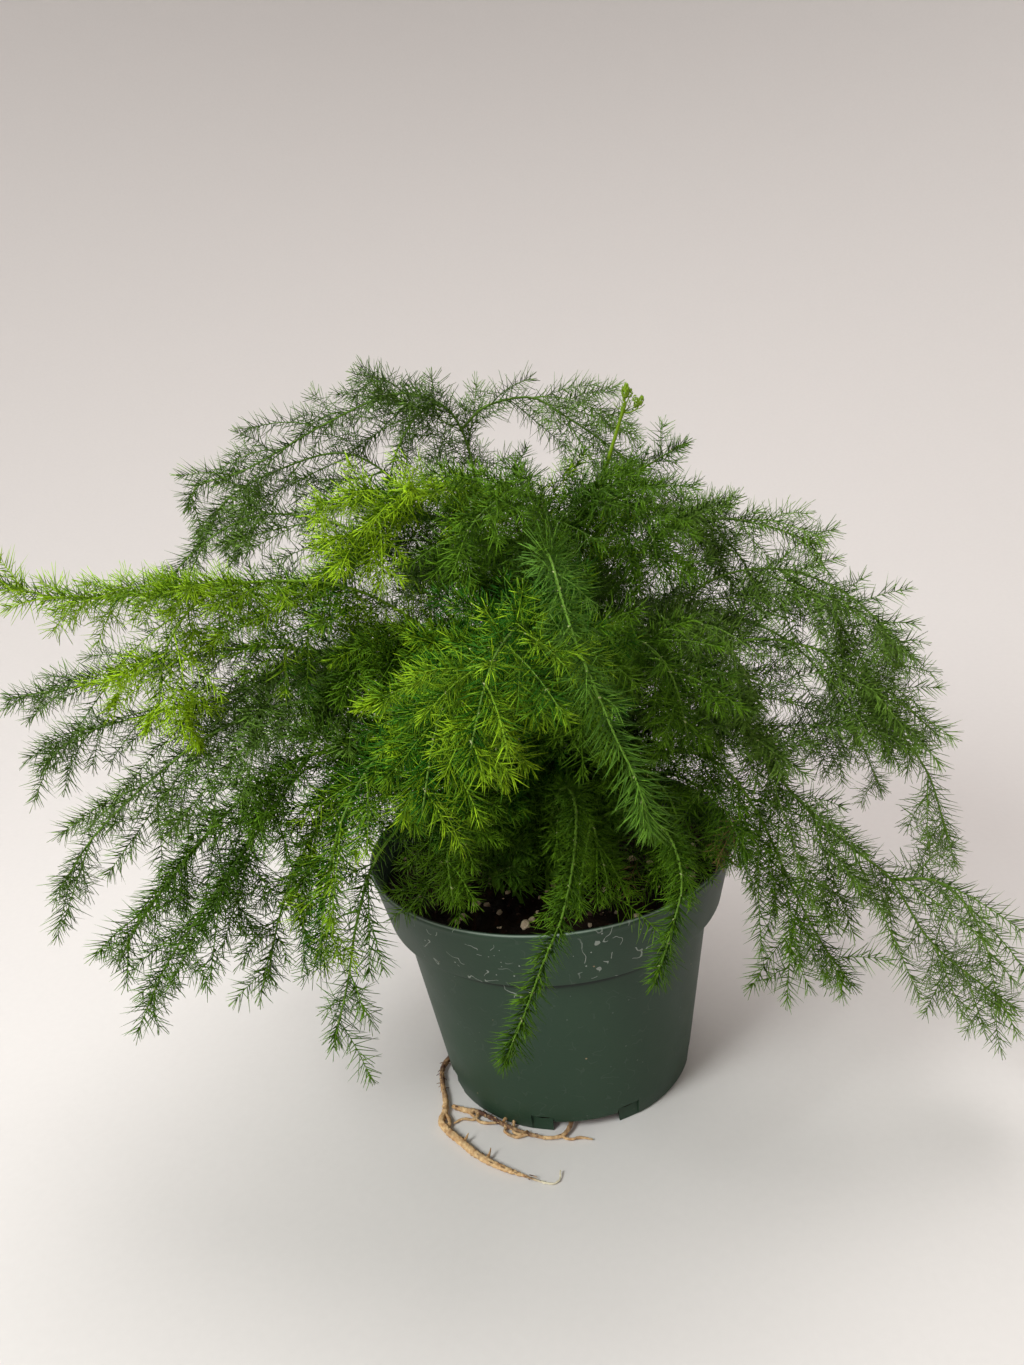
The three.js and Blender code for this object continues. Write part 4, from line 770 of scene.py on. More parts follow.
def wire_surface(tree, shader, **sockets):
    for label, socket in sockets.items():
        tree.links.new(socket, shader.inputs[label.replace("_", " ")])


def bump(tree, height, strength, distance):
    made = node(tree, "Bump", {"Height": height, "Strength": strength, "Distance": distance})
    return made.outputs["Normal"]


def rgba(colour):
    return (*colour, 1.0)


def foliage_material(name, old, young, settings):
    material, tree, shader = new_material(name)
    tint = place_group(tree, foliage_tint(), Old=rgba(old), Young=rgba(young),
                       Stem=rgba(settings.stem_colour), Bract=rgba(settings.bract_colour),
                       Dry=rgba(settings.dry_colour))
    shader.inputs["Specular IOR Level"].default_value = 0.12
    wire_surface(tree, shader, Base_Color=tint["Color"], Roughness=tint["Roughness"])
    return material


def pot_material(settings):
    """Moulded dark green plastic, dusty, with fine scratches, a painted highlight along the rim's edge and a
    painted shadow line under the rim band.
    """
    material, tree, shader = new_material("pot_plastic")
    shader.inputs["Specular IOR Level"].default_value = 0.3
    mottle = place_group(tree, patches(), Scale=22.0)["Value"]
    colour = blended(tree, mottle, rgba(settings.colour), rgba(settings.faded_colour))
    place = node(tree, "SeparateXYZ", {"Vector": node(tree, "TexCoord").outputs["Object"]}).outputs
    height = place["Z"]
    radius = calculated(tree, "SQRT", calculated(
        tree, "ADD", calculated(tree, "POWER", place["X"], 2.0), calculated(tree, "POWER", place["Y"], 2.0)))
    on_band = ranged(tree, height, STEP_HEIGHT - 0.002, STEP_HEIGHT + 0.002, 0.22, 1.0)
    # Painted highlight: the outer top edge of the rim is painted paler, where the lip catches the light.
    edge = calculated(tree, "MULTIPLY", ranged(tree, height, POT_HIGH.z - 0.0007, POT_HIGH.z - 0.0003),
                      ranged(tree, radius, POT_HIGH.x - 0.001, POT_HIGH.x - 0.0006))
    colour = blended(tree, calculated(tree, "MULTIPLY", edge, 0.7), colour, rgba(settings.rim_highlight_colour))
    # Painted shadow: a dark line is painted on the wall just under the rim band, where the band's overhang
    # shades it.
    band_shadow = calculated(tree, "MULTIPLY", ranged(tree, height, STEP_HEIGHT - 0.006, STEP_HEIGHT - 0.0048),
                       ranged(tree, height, STEP_HEIGHT + 0.0004, STEP_HEIGHT - 0.0002))
    colour = blended(tree, calculated(tree, "MULTIPLY", band_shadow, 0.85), colour, rgba(settings.band_shadow_colour))
    scuffed = 0.06
    for middle, reach in SCUFFED:
        away = node(tree, "VectorMath", {0: node(tree, "TexCoord").outputs["Object"], 1: middle},
                    operation="DISTANCE").outputs["Value"]
        scuffed = calculated(tree, "MAXIMUM", ranged(tree, away, reach, 0.6 * reach), scuffed)
    hairs = place_group(tree, hairlines(), Scale=105.0, Width=0.0085, Share=0.47)["Mask"]
    scratches = calculated(tree, "MULTIPLY", hairs, scuffed)
    colour = blended(tree, calculated(tree, "MULTIPLY", scratches, 0.5), colour, rgba(settings.dust_colour))
    dust = place_group(tree, specks(), Scale=420.0, Size=0.16, Share=0.07)["Mask"]
    dusty = calculated(tree, "MULTIPLY", calculated(tree, "MULTIPLY", dust, on_band), 0.5)
    colour = blended(tree, dusty, colour, rgba(settings.dust_colour))
    grains = place_group(tree, specks(), Scale=160.0, Size=0.07, Share=0.07)["Mask"]
    colour = blended(tree, calculated(tree, "MULTIPLY", grains, 0.6), colour, rgba(settings.grain_colour))
    grain = noise(tree, object_place(tree), 900.0, detail=2.0)
    rough = calculated(tree, "ADD", ranged(tree, mottle, 0.0, 1.0, 0.44, 0.58),
                       calculated(tree, "MULTIPLY", scratches, 0.15))
    relief = calculated(tree, "SUBTRACT", grain, calculated(tree, "MULTIPLY", scratches, 0.5))
    wire_surface(tree, shader, Base_Color=colour, Roughness=rough,
                 Normal=bump(tree, relief, 0.12, 0.0004))
    return material


def soil_material(settings):
    """Near-black damp mix of peat and fine bark."""
    material, tree, shader = new_material("soil_mix")
    place = object_place(tree)
    crumb = noise(tree, place, 420.0, detail=6.0, roughness=0.7)
    lumps = place_group(tree, patches(), Scale=120.0)["Value"]
    colour = blended(tree, lumps, rgba(settings.colour), rgba(settings.crumb_colour))
    bark = node(tree, "TexVoronoi", {"Vector": object_place(tree, (1.0, 0.35, 1.0)), "Scale": 520.0})
    chance = node(tree, "SeparateColor", {"Color": bark.outputs["Color"]}).outputs["Green"]
    flake = calculated(tree, "GREATER_THAN", chance, 0.86)
    colour = blended(tree, calculated(tree, "MULTIPLY", flake, 0.35), colour, rgba(settings.bark_colour))
    rough = ranged(tree, crumb, 0.3, 0.7, 0.7, 0.98)
    shader.inputs["Specular IOR Level"].default_value = 0.12
    wire_surface(tree, shader, Base_Color=colour, Roughness=rough,
                 Normal=bump(tree, crumb, 0.9, 0.0012))
    return material


def grit_material(settings):
    """Pale bits of perlite and bark, each with its own colour."""
    material, tree, shader = new_material("soil_grit")
    kind = node(tree, "Attribute", attribute_name="kind").outputs["Fac"]
    colour = blended(tree, kind, rgba(settings.bark_colour), rgba(settings.grit_colour))
    stain = place_group(tree, patches(), Scale=380.0)["Value"]
    colour = blended(tree, calculated(tree, "MULTIPLY", stain, 0.15), colour, rgba(settings.crumb_colour))
    crumb = noise(tree, object_place(tree), 1400.0, detail=4.0)
    wire_surface(tree, shader, Base_Color=colour, Roughness=ranged(tree, crumb, 0.3, 0.7, 0.75, 0.95),
                 Normal=bump(tree, crumb, 0.6, 0.0005))
    return material


def root_material(settings):
    """Tan root bark, with dark soil-stained stretches and a pale tip."""
    material, tree, shader = new_material("root_bark")
    place = object_place(tree)
    bark = noise(tree, place, 520.0, detail=5.0, roughness=0.65)
    colour = blended(tree, ranged(tree, bark, 0.35, 0.65), rgba(settings.colour), rgba(settings.light_colour))
    stain = place_group(tree, patches(), Scale=240.0)["Value"]
    old = node(tree, "Attribute", attribute_name="stain").outputs["Fac"]
    dark = calculated(tree, "ADD", calculated(tree, "SUBTRACT", stain, 1.0),
                      calculated(tree, "MULTIPLY", old, 1.4), clamp=True)
    colour = blended(tree, dark, colour, rgba(settings.dark_colour))
    tip = ranged(tree, node(tree, "Attribute", attribute_name="tip").outputs["Fac"], 0.3, 0.5)
    colour = blended(tree, tip, colour, rgba(settings.tip_colour))
    wire_surface(tree, shader, Base_Color=colour, Roughness=ranged(tree, bark, 0.3, 0.7, 0.6, 0.9),
                 Normal=bump(tree, bark, 0.8, 0.0006))
    return material


def stage_material(settings):
    """Plain pale matt studio paper."""
    material, tree, shader = new_material("studio_paper")
    fibre = noise(tree, object_place(tree), 260.0, detail=3.0)
    tone = blended(tree, ranged(tree, fibre, 0.3, 0.7), rgba(settings.floor_colour),
                   rgba([0.985 * c for c in settings.floor_colour]))
    wire_surface(tree, shader, Base_Color=tone, Roughness=ranged(tree, fibre, 0.3, 0.7, 0.82, 0.92))
    return material


# Growth

def fullness(share):
    """How long side lines are along a line: short near both ends, longest before the middle."""
    return min(1, FULL_START + FULL_RISE * share) * (1 - share) ** FULL_FALL * FULL_SIZE + FULL_LEAST


def offshoot(start, along, roll, lean, length, droop, steps):
    """A side line: it leaves at an angle, bends a little along its stem and droops."""
    side = np.cross(along, UP)
    if np.linalg.norm(side) < STEEPEST:
        side = np.array([1.0, 0, 0])
    side = unit(side)
    over = np.cross(side, along)
    out = math.cos(roll) * side + math.sin(roll) * over
    first = math.cos(lean) * along + math.sin(lean) * out
    bend = FOLLOW * along - droop * UP
    u = np.linspace(0, 1, steps + 1)[:, None]
    return Line(start + length * (u * first + u * u * bend))


def in_the_open(points):
    """Whether all points keep clear of the pot, the soil and the ground, and below the plant's top."""
    radius = np.hypot(points[:, 0], points[:, 1])
    height = points[:, 2]
    over_rim = height > POT_HIGH.z / MM + RIM_CLEARANCE
    beside = (radius > POT_HIGH.x / MM + RIM_CLEARANCE) & (height > GROUND_CLEARANCE)
    on_soil = (radius < BODY_TOP_RADIUS / MM) & (height > (SOIL_TOP + SOIL_CROWN) / MM + RIM_CLEARANCE)
    return bool(np.all((over_rim | beside | on_soil) & (height < HIGHEST)))


def clear_offshoot(start, along, roll, lean, length, droop, steps):
    """The first turn and length of a side line that keeps clear, or none."""
    for shorter in LENGTH_TRIES:
        for turn in ROLL_TRIES:
            line = offshoot(start, along, roll + turn, lean, length * shorter, droop, steps)
            if in_the_open(line.points[1:]):
                return line
    return None


def axes_of(index, bare, reach, stem, forks):
    """The stem of a frond and its forks, each with its growth values."""
    main = smooth_line(stem)
    axes = [(main, bare, reach, FIRST_SEED + FROND_SEED_STEP * index, STEM_RADII)]
    for number, route in enumerate(forks, start=1):
        root = main.points[np.argmin(np.linalg.norm(main.points - np.array(route[0]), axis=1))]
        seed = FIRST_SEED + FROND_SEED_STEP * index + FORK_SEED_STEP * number
        axes.append((smooth_line([root, *route[1:]]), FORK_BARE, reach * FORK_REACH, seed, FORK_RADII))
    return axes


def twigs_on(line, bare, reach, seed):
    """The side twigs of a stem or fork: each with its number and its place along the leafy stretch."""
    draw = draw_from(seed)
    count = round(line.length * (1 - bare) / TWIG_SPACING)
    twigs = []
    for i in range(count):
        place = (i + 0.5 + PLACE_JITTER * (next(draw) - 0.5)) / count
        share = bare + (LAST_TWIG - bare) * place
        roll = (0 if i % 2 else math.pi) + ROLL_JITTER * (next(draw) - 0.5)
        lean = TWIG_LEAN + TWIG_LEAN_JITTER * next(draw)
        length = reach * fullness(place) * (SHORTEST + LENGTH_JITTER * next(draw))
        droop = DROOP + DROOP_JITTER * next(draw)
        twig = clear_offshoot(line.at(share), line.along(share), roll, lean, length, droop, 6)
        if twig:
            twigs.append((i, place, twig))
    return twigs


def share_at_height(line, height):
    """The share of a rising line's length at which it passes a height, in its first stretch."""
    return np.interp(height, line.points[:20, 2], line.run[:20]) / line.length


def extra_twigs_on(line, start, end, spacing, lengths, seed, hanging=False):
    """Short twigs all round a stretch of a stem, or only under it, each with its place along it."""
    draw = draw_from(seed)
    count = round(line.length * (end - start) / spacing)
    shortest, longest = lengths
    made = []
    for i in range(count):
        place = ((i + next(draw)) / count) ** (CROWDING if hanging else 1)
        share = start + (end - start) * place
        roll = math.pi * (1 + next(draw)) if hanging else 2 * math.pi * next(draw)
        lean = TWIG_LEAN + 2 * TWIG_LEAN_JITTER * next(draw)
        length = shortest + (longest - shortest) * next(draw)
        twig = clear_offshoot(line.at(share), line.along(share), roll, lean, length, DROOP, 4)
        if twig:
            made.append((place, twig))
    return made


def branchlets_on(twig, seed):
    """The fine side lines of a twig."""
    draw = draw_from(seed)
    if twig.length < SHORTEST_FORKED_TWIG:
        return []
    count = int(twig.length / BRANCHLET_SPACING)
    low, high = BRANCHLET_ZONE
    made = []
    for i in range(count):
        place = (i + 0.5 + PLACE_JITTER * (next(draw) - 0.5)) / count
        share = low + (high - low) * place
        roll = (0 if i % 2 else math.pi) + BRANCHLET_ROLL_JITTER * (next(draw) - 0.5)
        lean = BRANCHLET_LEAN + BRANCHLET_LEAN_JITTER * next(draw)
        size = BRANCHLET_SHARE * twig.length * fullness(place) * (SHORTEST + LENGTH_JITTER * next(draw))
        length = max(SHORTEST_BRANCHLET, size)
        droop = BRANCHLET_DROOP + BRANCHLET_DROOP_JITTER * next(draw)
        line = clear_offshoot(twig.at(share), twig.along(share), roll, lean, length, droop, 3)
        if line:
            made.append(line)
    return made


def form_of(piece):
    """The points and triangles of a form that is copied many times. The form itself is removed."""
    points = np.array([v.co for v in piece.data.vertices])
    piece.data.calc_loop_triangles()
    triangles = np.array([t.vertices for t in piece.data.loop_triangles])
    bpy.data.objects.remove(piece)
    return points, triangles


def select_points(piece, chosen):
    """In edit mode, select only the points that the test chooses."""
    bpy.ops.object.mode_set(mode="EDIT")
    bpy.ops.mesh.select_all(action="DESELECT")
    bpy.ops.object.mode_set(mode="OBJECT")
    for vertex in piece.data.vertices:
        vertex.select = chosen(vertex.co)
    bpy.ops.object.mode_set(mode="EDIT")


def needle_form():
    """One needle of unit length and width, modelled once: four-sided, with its foot and its tip as
    edges that stand across each other, and bent outwards. X points outwards and Z along the needle."""
    deselect_all()
    bpy.ops.mesh.primitive_cone_add(vertices=3, radius1=1.0, radius2=0.0, depth=1.0,
                                    end_fill_type="NGON", location=(0, 0, 0.5))
    form = bpy.context.object
    bpy.ops.object.transform_apply(location=True)
    select_points(form, lambda place: place.z < 0.5 and place.y > 0.5)
    bpy.ops.transform.translate(value=(0.8, -0.45, 0.95))
    select_points(form, lambda place: place.z > 0.99)
    bpy.ops.transform.translate(value=(0.8, -0.55, 0.05))
    select_points(form, lambda place: place.z < 0.5)
    bpy.ops.transform.translate(value=(0, 0.5, 0))
    bpy.ops.object.mode_set(mode="OBJECT")
    return form_of(form)


def scale_form():
    """One pointed, cupped scale of unit length, modelled once. X points outwards and Z along it."""
    deselect_all()
    bpy.ops.mesh.primitive_uv_sphere_add(segments=8, ring_count=6, radius=0.5, location=(0, 0, 0.5))
    form = bpy.context.object
    bpy.ops.object.transform_apply(location=True)
    select_points(form, lambda place: place.z > 0.6)
    bpy.ops.transform.resize(value=(0.62, 0.62, 1))
    select_points(form, lambda place: place.z > 0.9)
    bpy.ops.transform.resize(value=(0.35, 0.35, 1))
    bpy.ops.transform.translate(value=(-0.12, 0, 0.12))
    select_points(form, lambda place: place.z < 0.2)
    bpy.ops.transform.resize(value=(0.7, 0.7, 1))
    bpy.ops.mesh.select_all(action="SELECT")
    bpy.ops.transform.resize(value=(0.34, 0.62, 1))
    bpy.ops.object.mode_set(mode="OBJECT")
    return form_of(form)


class Whorls:
    """Places along the lines of a frond where needles grow."""

    def __init__(self):
        self.rows = []

    def add(self, line, start, spacing, youth, radius, tight=0.0, dry=0.0):
        """Whorls from a share of the line to its tip, closer together towards the tip."""
        leafy = line.length * (1 - start)
        count = max(2, round(leafy / spacing))
        step = (np.arange(count) + 0.5) / count
        share = start + (1 - start) * (1 - (1 - step) ** TIP_CROWDING)
        to_tip = (1 - share) * line.length
        ones = np.ones(count)
        self.rows.append(np.column_stack([
            line.at(share), line.along(share), to_tip, youth * ones, radius * ones,
            tight * ones, dry * ones,
        ]))

    def grown(self, rng, form, needle_length, settings):
        """The needles of all whorls, as points, triangles, youth and dryness."""
        rows = np.vstack(self.rows)
        number = np.full(len(rows), NEEDLES_PER_WHORL)
        for chance in MORE_NEEDLES:
            number = number + (rng.random(len(rows)) < chance)
        which = np.repeat(np.arange(len(rows)), number)
        first = np.concatenate([[0], np.cumsum(number)[:-1]])
        order = np.arange(len(which)) - first[which]
        rows = rows[which]
        total = len(which)
        turn = rng.random(len(number))[which] * 2 * math.pi
        roll = turn + 2 * math.pi * order / number[which] + rng.normal(0, NEEDLE_ROLL_JITTER, total)
        centre, along = rows[:, 0:3], unit(rows[:, 3:6])
        to_tip, youth, radius, tight, dry = rows[:, 6:].T
        across, over = square_to(along)
        out = np.cos(roll)[:, None] * across + np.sin(roll)[:, None] * over
        side = np.cross(out, along)
        inside = np.clip(to_tip / TIP_STRETCH, 0, 1)
        lean = np.radians(NEEDLE_LEAN + INNER_LEAN * inside + rng.normal(0, NEEDLE_LEAN_JITTER, total))
        lean = lean * (1 - tight) + np.radians(TIGHT_LEAN) * tight
        length = needle_length * (TIP_NEEDLE + (1 - TIP_NEEDLE) * inside)
        length = length * rng.uniform(*NEEDLE_LENGTH_RANGE, total) * (1 - TIGHT_SHORTENING * tight)
        width = settings.needle_thickness / MM / 2 * rng.uniform(*NEEDLE_WIDTH_RANGE, total)
        heading = np.cos(lean)[:, None] * along + np.sin(lean)[:, None] * out
        outward = np.cos(lean)[:, None] * out - np.sin(lean)[:, None] * along
        shift = rng.uniform(-WHORL_SCATTER, WHORL_SCATTER, total)
        place = centre + out * (radius * 0.5)[:, None] + along * shift[:, None]
        points, triangles = form
        x, y, z = points.T
        made = (place[:, None]
                + heading[:, None] * (length[:, None] * z)[..., None]
                + outward[:, None] * (width[:, None] * x)[..., None]
                + side[:, None] * (width[:, None] * y)[..., None])
        shifts = np.arange(total)[:, None, None] * len(points)
        youth = youth + TIP_YOUTH * (1 - inside) + rng.normal(0, NEEDLE_YOUTH_JITTER, total)
        each = len(points)
        return (made.reshape(-1, 3), (triangles[None] + shifts).reshape(-1, 3),
                np.repeat(youth, each), np.repeat(dry, each))


def add_rod(shape, line, radii, step, sides, **values):
    """A stem, twig or branchlet, tapered along its line."""
    count = max(2, math.ceil(line.length / step)) + 1
    share = np.linspace(0, 1, count)
    points, triangles = tube(line.at(share), np.interp(share, (0, 1), radii), sides)
    shape.add(points, triangles, **values)


def add_bract(shape, form, place, along, size):
    """A small pale scale at a joint of the stem."""
    across, over = square_to(along[None])
    points, triangles = form
    made = place + (points[:, :1] * across + points[:, 1:2] * over) * size * 0.42 \
        + (points[:, 2:] - 0.5) * along * size
    shape.add(made, triangles, pale=1.0)


def frond_shape(index, name, form, settings):
    """All that grows on one stem."""
    tone, bare, reach, stem, *forks = FRONDS[name]
    # The shifts make a whole frond lighter or darker; for the low fronds over the soil this is painted light.
    inner, outer = (youth + YOUTH_AND_LIGHT_SHIFTS.get(name, 0) for youth in YOUTH[tone])
    rng = np.random.default_rng(FIRST_SEED + index)
    shape = Shape("youth", "wood", "pale", "dry")
    whorls = Whorls()
    spacing = settings.whorl_spacing / MM
    extra = EXTRA_TWIGS.get(name, EXTRA_TWIGS.get(tone, 1))
    for number, (line, axis_bare, axis_reach, seed, radii) in enumerate(
            axes_of(index, bare, reach, stem, forks)):
        start = FORK_OUTWARDS if number else 0.0
        add_rod(shape, line, radii, STEM_STEP, STEM_SIDES, wood=1.0, youth=inner)
        lowest = axis_bare if number else share_at_height(line, INNER_TWIG_LOWEST)
        whorls.add(line, lowest, spacing / BRUSHES.get(name, 1), inner, radii[1])
        added = extra_twigs_on(line, axis_bare, LAST_TWIG, EXTRA_TWIG_SPACING / extra, EXTRA_TWIG_LENGTHS,
                               seed + 1, hanging=tone == "dark") if extra else []
        for place, twig in added:
            youth = inner + (outer - inner) * (start + (1 - start) * place)
            add_rod(shape, twig, BRANCHLET_RADII, TWIG_STEP, TWIG_SIDES, wood=TWIG_WOOD, youth=youth)
            whorls.add(twig, TWIG_NEEDLES_FROM, spacing, youth, BRANCHLET_RADII[1])
        low_twigs = extra_twigs_on(line, lowest, axis_bare, INNER_TWIG_SPACING, INNER_TWIG_LENGTHS, seed + 2)
        for _, twig in low_twigs:
            add_rod(shape, twig, TWIG_RADII, TWIG_STEP, TWIG_SIDES, wood=TWIG_WOOD, youth=inner)
            whorls.add(twig, TWIG_NEEDLES_FROM, spacing, inner, TWIG_RADII[1])
        grown = GROWN_TWIGS.get(name, GROWN_TWIGS[tone])
        for twig_number, place, twig in twigs_on(line, axis_bare, axis_reach, seed):
            if twig_number % SOLID_TWIG_STEP != FIRST_SOLID_TWIG and rng.random() > grown:
                continue
            outwards = start + (1 - start) * place
            youth = inner + (outer - inner) * outwards**YOUTH_RISE + rng.normal(0, YOUTH_JITTER)
            add_rod(shape, twig, TWIG_RADII, TWIG_STEP, TWIG_SIDES, wood=TWIG_WOOD, youth=youth)
            add_bract(shape, form, twig.points[0], twig.along(0.02), TWIG_BRACT)
            whorls.add(twig, TWIG_NEEDLES_FROM, spacing, youth, TWIG_RADII[1])
            if tone == "bright" and outwards > TASSEL_FROM and rng.random() < TASSEL_SHARE:
                tassel = max(0.1, 1 - TASSEL_LENGTH / twig.length)
                whorls.add(twig, tassel, spacing / TASSEL_CROWDING, youth + TASSEL_YOUTH, TWIG_RADII[1],
                           tight=TASSEL_TIGHTNESS)
            most, least = FORKED_SHARE
            if rng.random() > most + (least - most) * outwards:
                continue
            for fine in branchlets_on(twig, seed + twig_number + BRANCHLET_SEED_STEP):
                dry = float(rng.random() < DRY_SHARE)
                add_rod(shape, fine, BRANCHLET_RADII, TWIG_STEP, TWIG_SIDES, wood=BRANCHLET_WOOD,
                        youth=youth, dry=dry)
                whorls.add(fine, BRANCHLET_NEEDLES_FROM, spacing, youth, BRANCHLET_RADII[1], dry=dry)
                add_bract(shape, form, fine.points[0], fine.along(0.02), BRANCHLET_BRACT)
    length = NEEDLE_LENGTHS[tone] * settings.needle_size
    points, triangles, youth, dry = whorls.grown(rng, form, length, settings)
    shape.add(points, triangles, youth=youth, dry=dry)
    return shape


# Settings

def length_setting(name, description, default):
    return FloatProperty(name=name, description=description, default=default, subtype="DISTANCE",
                         unit="LENGTH", precision=5)


def colour_setting(name, description, default):
    return FloatVectorProperty(name=name, description=description, default=default, subtype="COLOR",
                               size=3, min=0.0, max=1.0)


class FernStageSettings(bpy.types.PropertyGroup):
    floor_colour: colour_setting("Floor", "Colour of the pale studio paper", (0.7, 0.655, 0.64))
    flat_radius: length_setting("Flat radius", "How far the flat paper reaches", 0.5)
    sweep_radius: length_setting("Sweep radius", "Radius of the paper's rise behind the plant", 1.5)
    paper_height: length_setting("Paper height", "How high the paper reaches", 3.4)
    key_power: FloatProperty(name="Key light", description="Power of the window-side light, in watts",
                             default=26.0, min=0.0)
    top_power: FloatProperty(name="Top light", description="Power of the light from above, in watts",
                             default=16.0, min=0.0)
    fill_power: FloatProperty(name="Fill light", description="Power of the fill light, in watts",
                              default=0.4, min=0.0)
    sky_strength: FloatProperty(name="Sky", description="Strength of the even light all round",
                                default=0.22, min=0.0)


class FernPotSettings(bpy.types.PropertyGroup):
    rim_radius: length_setting("Rim radius", "Outer radius of the rim", POT_HIGH.x)
    height: length_setting("Height", "Height of the pot", POT_HIGH.z)
    steps: IntProperty(name="Steps", description="Sides of the round wall", default=144, min=24, max=360)
    colour: colour_setting("Plastic", "Dark green of the plastic", (0.015, 0.037, 0.02))
    faded_colour: colour_setting("Faded plastic", "Plastic where it has faded", (0.021, 0.045, 0.025))
    # Painted highlight along the rim's outer top edge.
    rim_highlight_colour: colour_setting("Rim edge", "Paler plastic along the rim's edge", (0.3, 0.36, 0.3))
    dust_colour: colour_setting("Dust", "Colour of dust and scratches", (0.42, 0.44, 0.4))
    # Painted shadow: the dark line on the wall under the rim band.
    band_shadow_colour: colour_setting("Grime", "Dark line under the rim band", (0.004, 0.008, 0.006))
    grain_colour: colour_setting("Grains", "Colour of soil grains on the wall", (0.35, 0.24, 0.14))


class FernSoilSettings(bpy.types.PropertyGroup):
    colour: colour_setting("Peat", "Dark colour of the damp peat", (0.005, 0.0032, 0.0022))
    crumb_colour: colour_setting("Crumbs", "Colour of drier crumbs", (0.02, 0.0095, 0.005))
    bark_colour: colour_setting("Bark", "Colour of bark bits", (0.045, 0.016, 0.008))
    grit_colour: colour_setting("Grit", "Colour of perlite bits", (1.0, 0.76, 0.52))
    grit_count: IntProperty(name="Bits", description="Number of small bits in the surface", default=620,
                            min=0, max=2000)


class FernRootSettings(bpy.types.PropertyGroup):
    colour: colour_setting("Bark", "Tan colour of the root", (0.4, 0.2, 0.075))
    light_colour: colour_setting("Light bark", "Lighter peeled bark", (0.72, 0.5, 0.26))
    dark_colour: colour_setting("Stain", "Dark soil-stained bark", (0.075, 0.026, 0.012))
    tip_colour: colour_setting("Tip", "Pale root tip", (0.7, 0.62, 0.45))


class FernFoliageSettings(bpy.types.PropertyGroup):
    needle_size: FloatProperty(name="Needle size", description="Needle length, over the usual length",
                               default=1.0, min=0.2, max=2.0)
    needle_thickness: length_setting("Needle thickness", "Width of a needle at its foot", 0.00049)
    whorl_spacing: length_setting("Whorl spacing", "Distance between whorls of needles", 0.0023)
    dark_old: colour_setting("Dark, old", "Old needles of the dark fronds", (0.068, 0.138, 0.018))
    dark_young: colour_setting("Dark, young", "Young needles of the dark fronds", (0.18, 0.32, 0.036))
    mid_old: colour_setting("Mid, old", "Old needles of the middle fronds", (0.042, 0.112, 0.005))
    mid_young: colour_setting("Mid, young", "Young needles of the middle fronds", (0.15, 0.31, 0.01))
    bright_old: colour_setting("Bright, old", "Old needles of the bright fronds", (0.02, 0.115, 0.004))
    bright_young: colour_setting("Bright, young", "Young needles of the bright fronds", (0.38, 0.6, 0.014))
    cool_old: colour_setting("Cool, old", "Old needles of the blue-green frond", (0.046, 0.122, 0.012))
    cool_young: colour_setting("Cool, young", "Young needles of the blue-green frond", (0.18, 0.37, 0.034))
    stem_colour: colour_setting("Stem", "Green of the stems", (0.1, 0.19, 0.022))
    bract_colour: colour_setting("Bract", "Pale scale at each joint", (0.42, 0.46, 0.2))
    dry_colour: colour_setting("Dry", "Dry needles", (0.3, 0.19, 0.08))
    shoot_colour: colour_setting("Shoot", "Young shoot", (0.2, 0.33, 0.008))


# Operators

class FERN_OT_camera(bpy.types.Operator):
    """Place the camera at the photograph's viewing angle"""
    bl_idname = "fern.camera"
    bl_label = "Camera"

    def execute(self, context):
        lens = bpy.data.cameras.new("camera")
        lens.lens = CAMERA_LENS
        lens.sensor_width = CAMERA_SENSOR
        camera = bpy.data.objects.new("camera", lens)
        turn = Matrix((CAMERA_RIGHT, CAMERA_UP, -CAMERA_FORWARD)).transposed()
        camera.matrix_world = Matrix.Translation(CAMERA_PLACE) @ turn.to_4x4()
        context.scene.collection.objects.link(camera)
        context.scene.camera = camera
        return {"FINISHED"}


class FERN_OT_stage(bpy.types.Operator):
    """Make the pale paper round the plant and the soft studio light"""
    bl_idname = "fern.stage"
    bl_label = "Stage"

    def execute(self, context):
        settings = context.scene.fern_stage
        flat, sweep = settings.flat_radius, settings.sweep_radius
        arc = [(flat + sweep * math.sin(turn), sweep - sweep * math.cos(turn))
               for turn in np.linspace(0, math.pi / 2, 24)]
        profile = [(0.0, 0.0), *arc, (flat + sweep, settings.paper_height)]
        paper = spun("studio_paper", profile, 96)
        for face in paper.data.polygons:
            face.use_smooth = True
        named(paper, "studio_paper", stage_material(settings))
        for name, size, place, colour in LIGHTS:
            self.add_light(context, name, getattr(settings, name + "_power"), size, place, colour)
        world = bpy.data.worlds.new("even_sky")
        world.use_nodes = True
        world.node_tree.nodes["Background"].inputs["Strength"].default_value = settings.sky_strength
        world.node_tree.nodes["Background"].inputs["Color"].default_value = SKY_COLOUR
        context.scene.world = world
        context.scene.view_settings.view_transform = "Standard"
        return {"FINISHED"}

    @staticmethod
    def add_light(context, name, power, size, place, colour):
        lamp = bpy.data.lights.new(name, "AREA")
        lamp.energy = power
        lamp.size = size
        lamp.color = colour
        light = bpy.data.objects.new(name, lamp)
        light.location = place
        aim = LIGHT_AIM - Vector(place)
        light.rotation_euler = aim.to_track_quat("-Z", "Y").to_euler()
        context.scene.collection.objects.link(light)


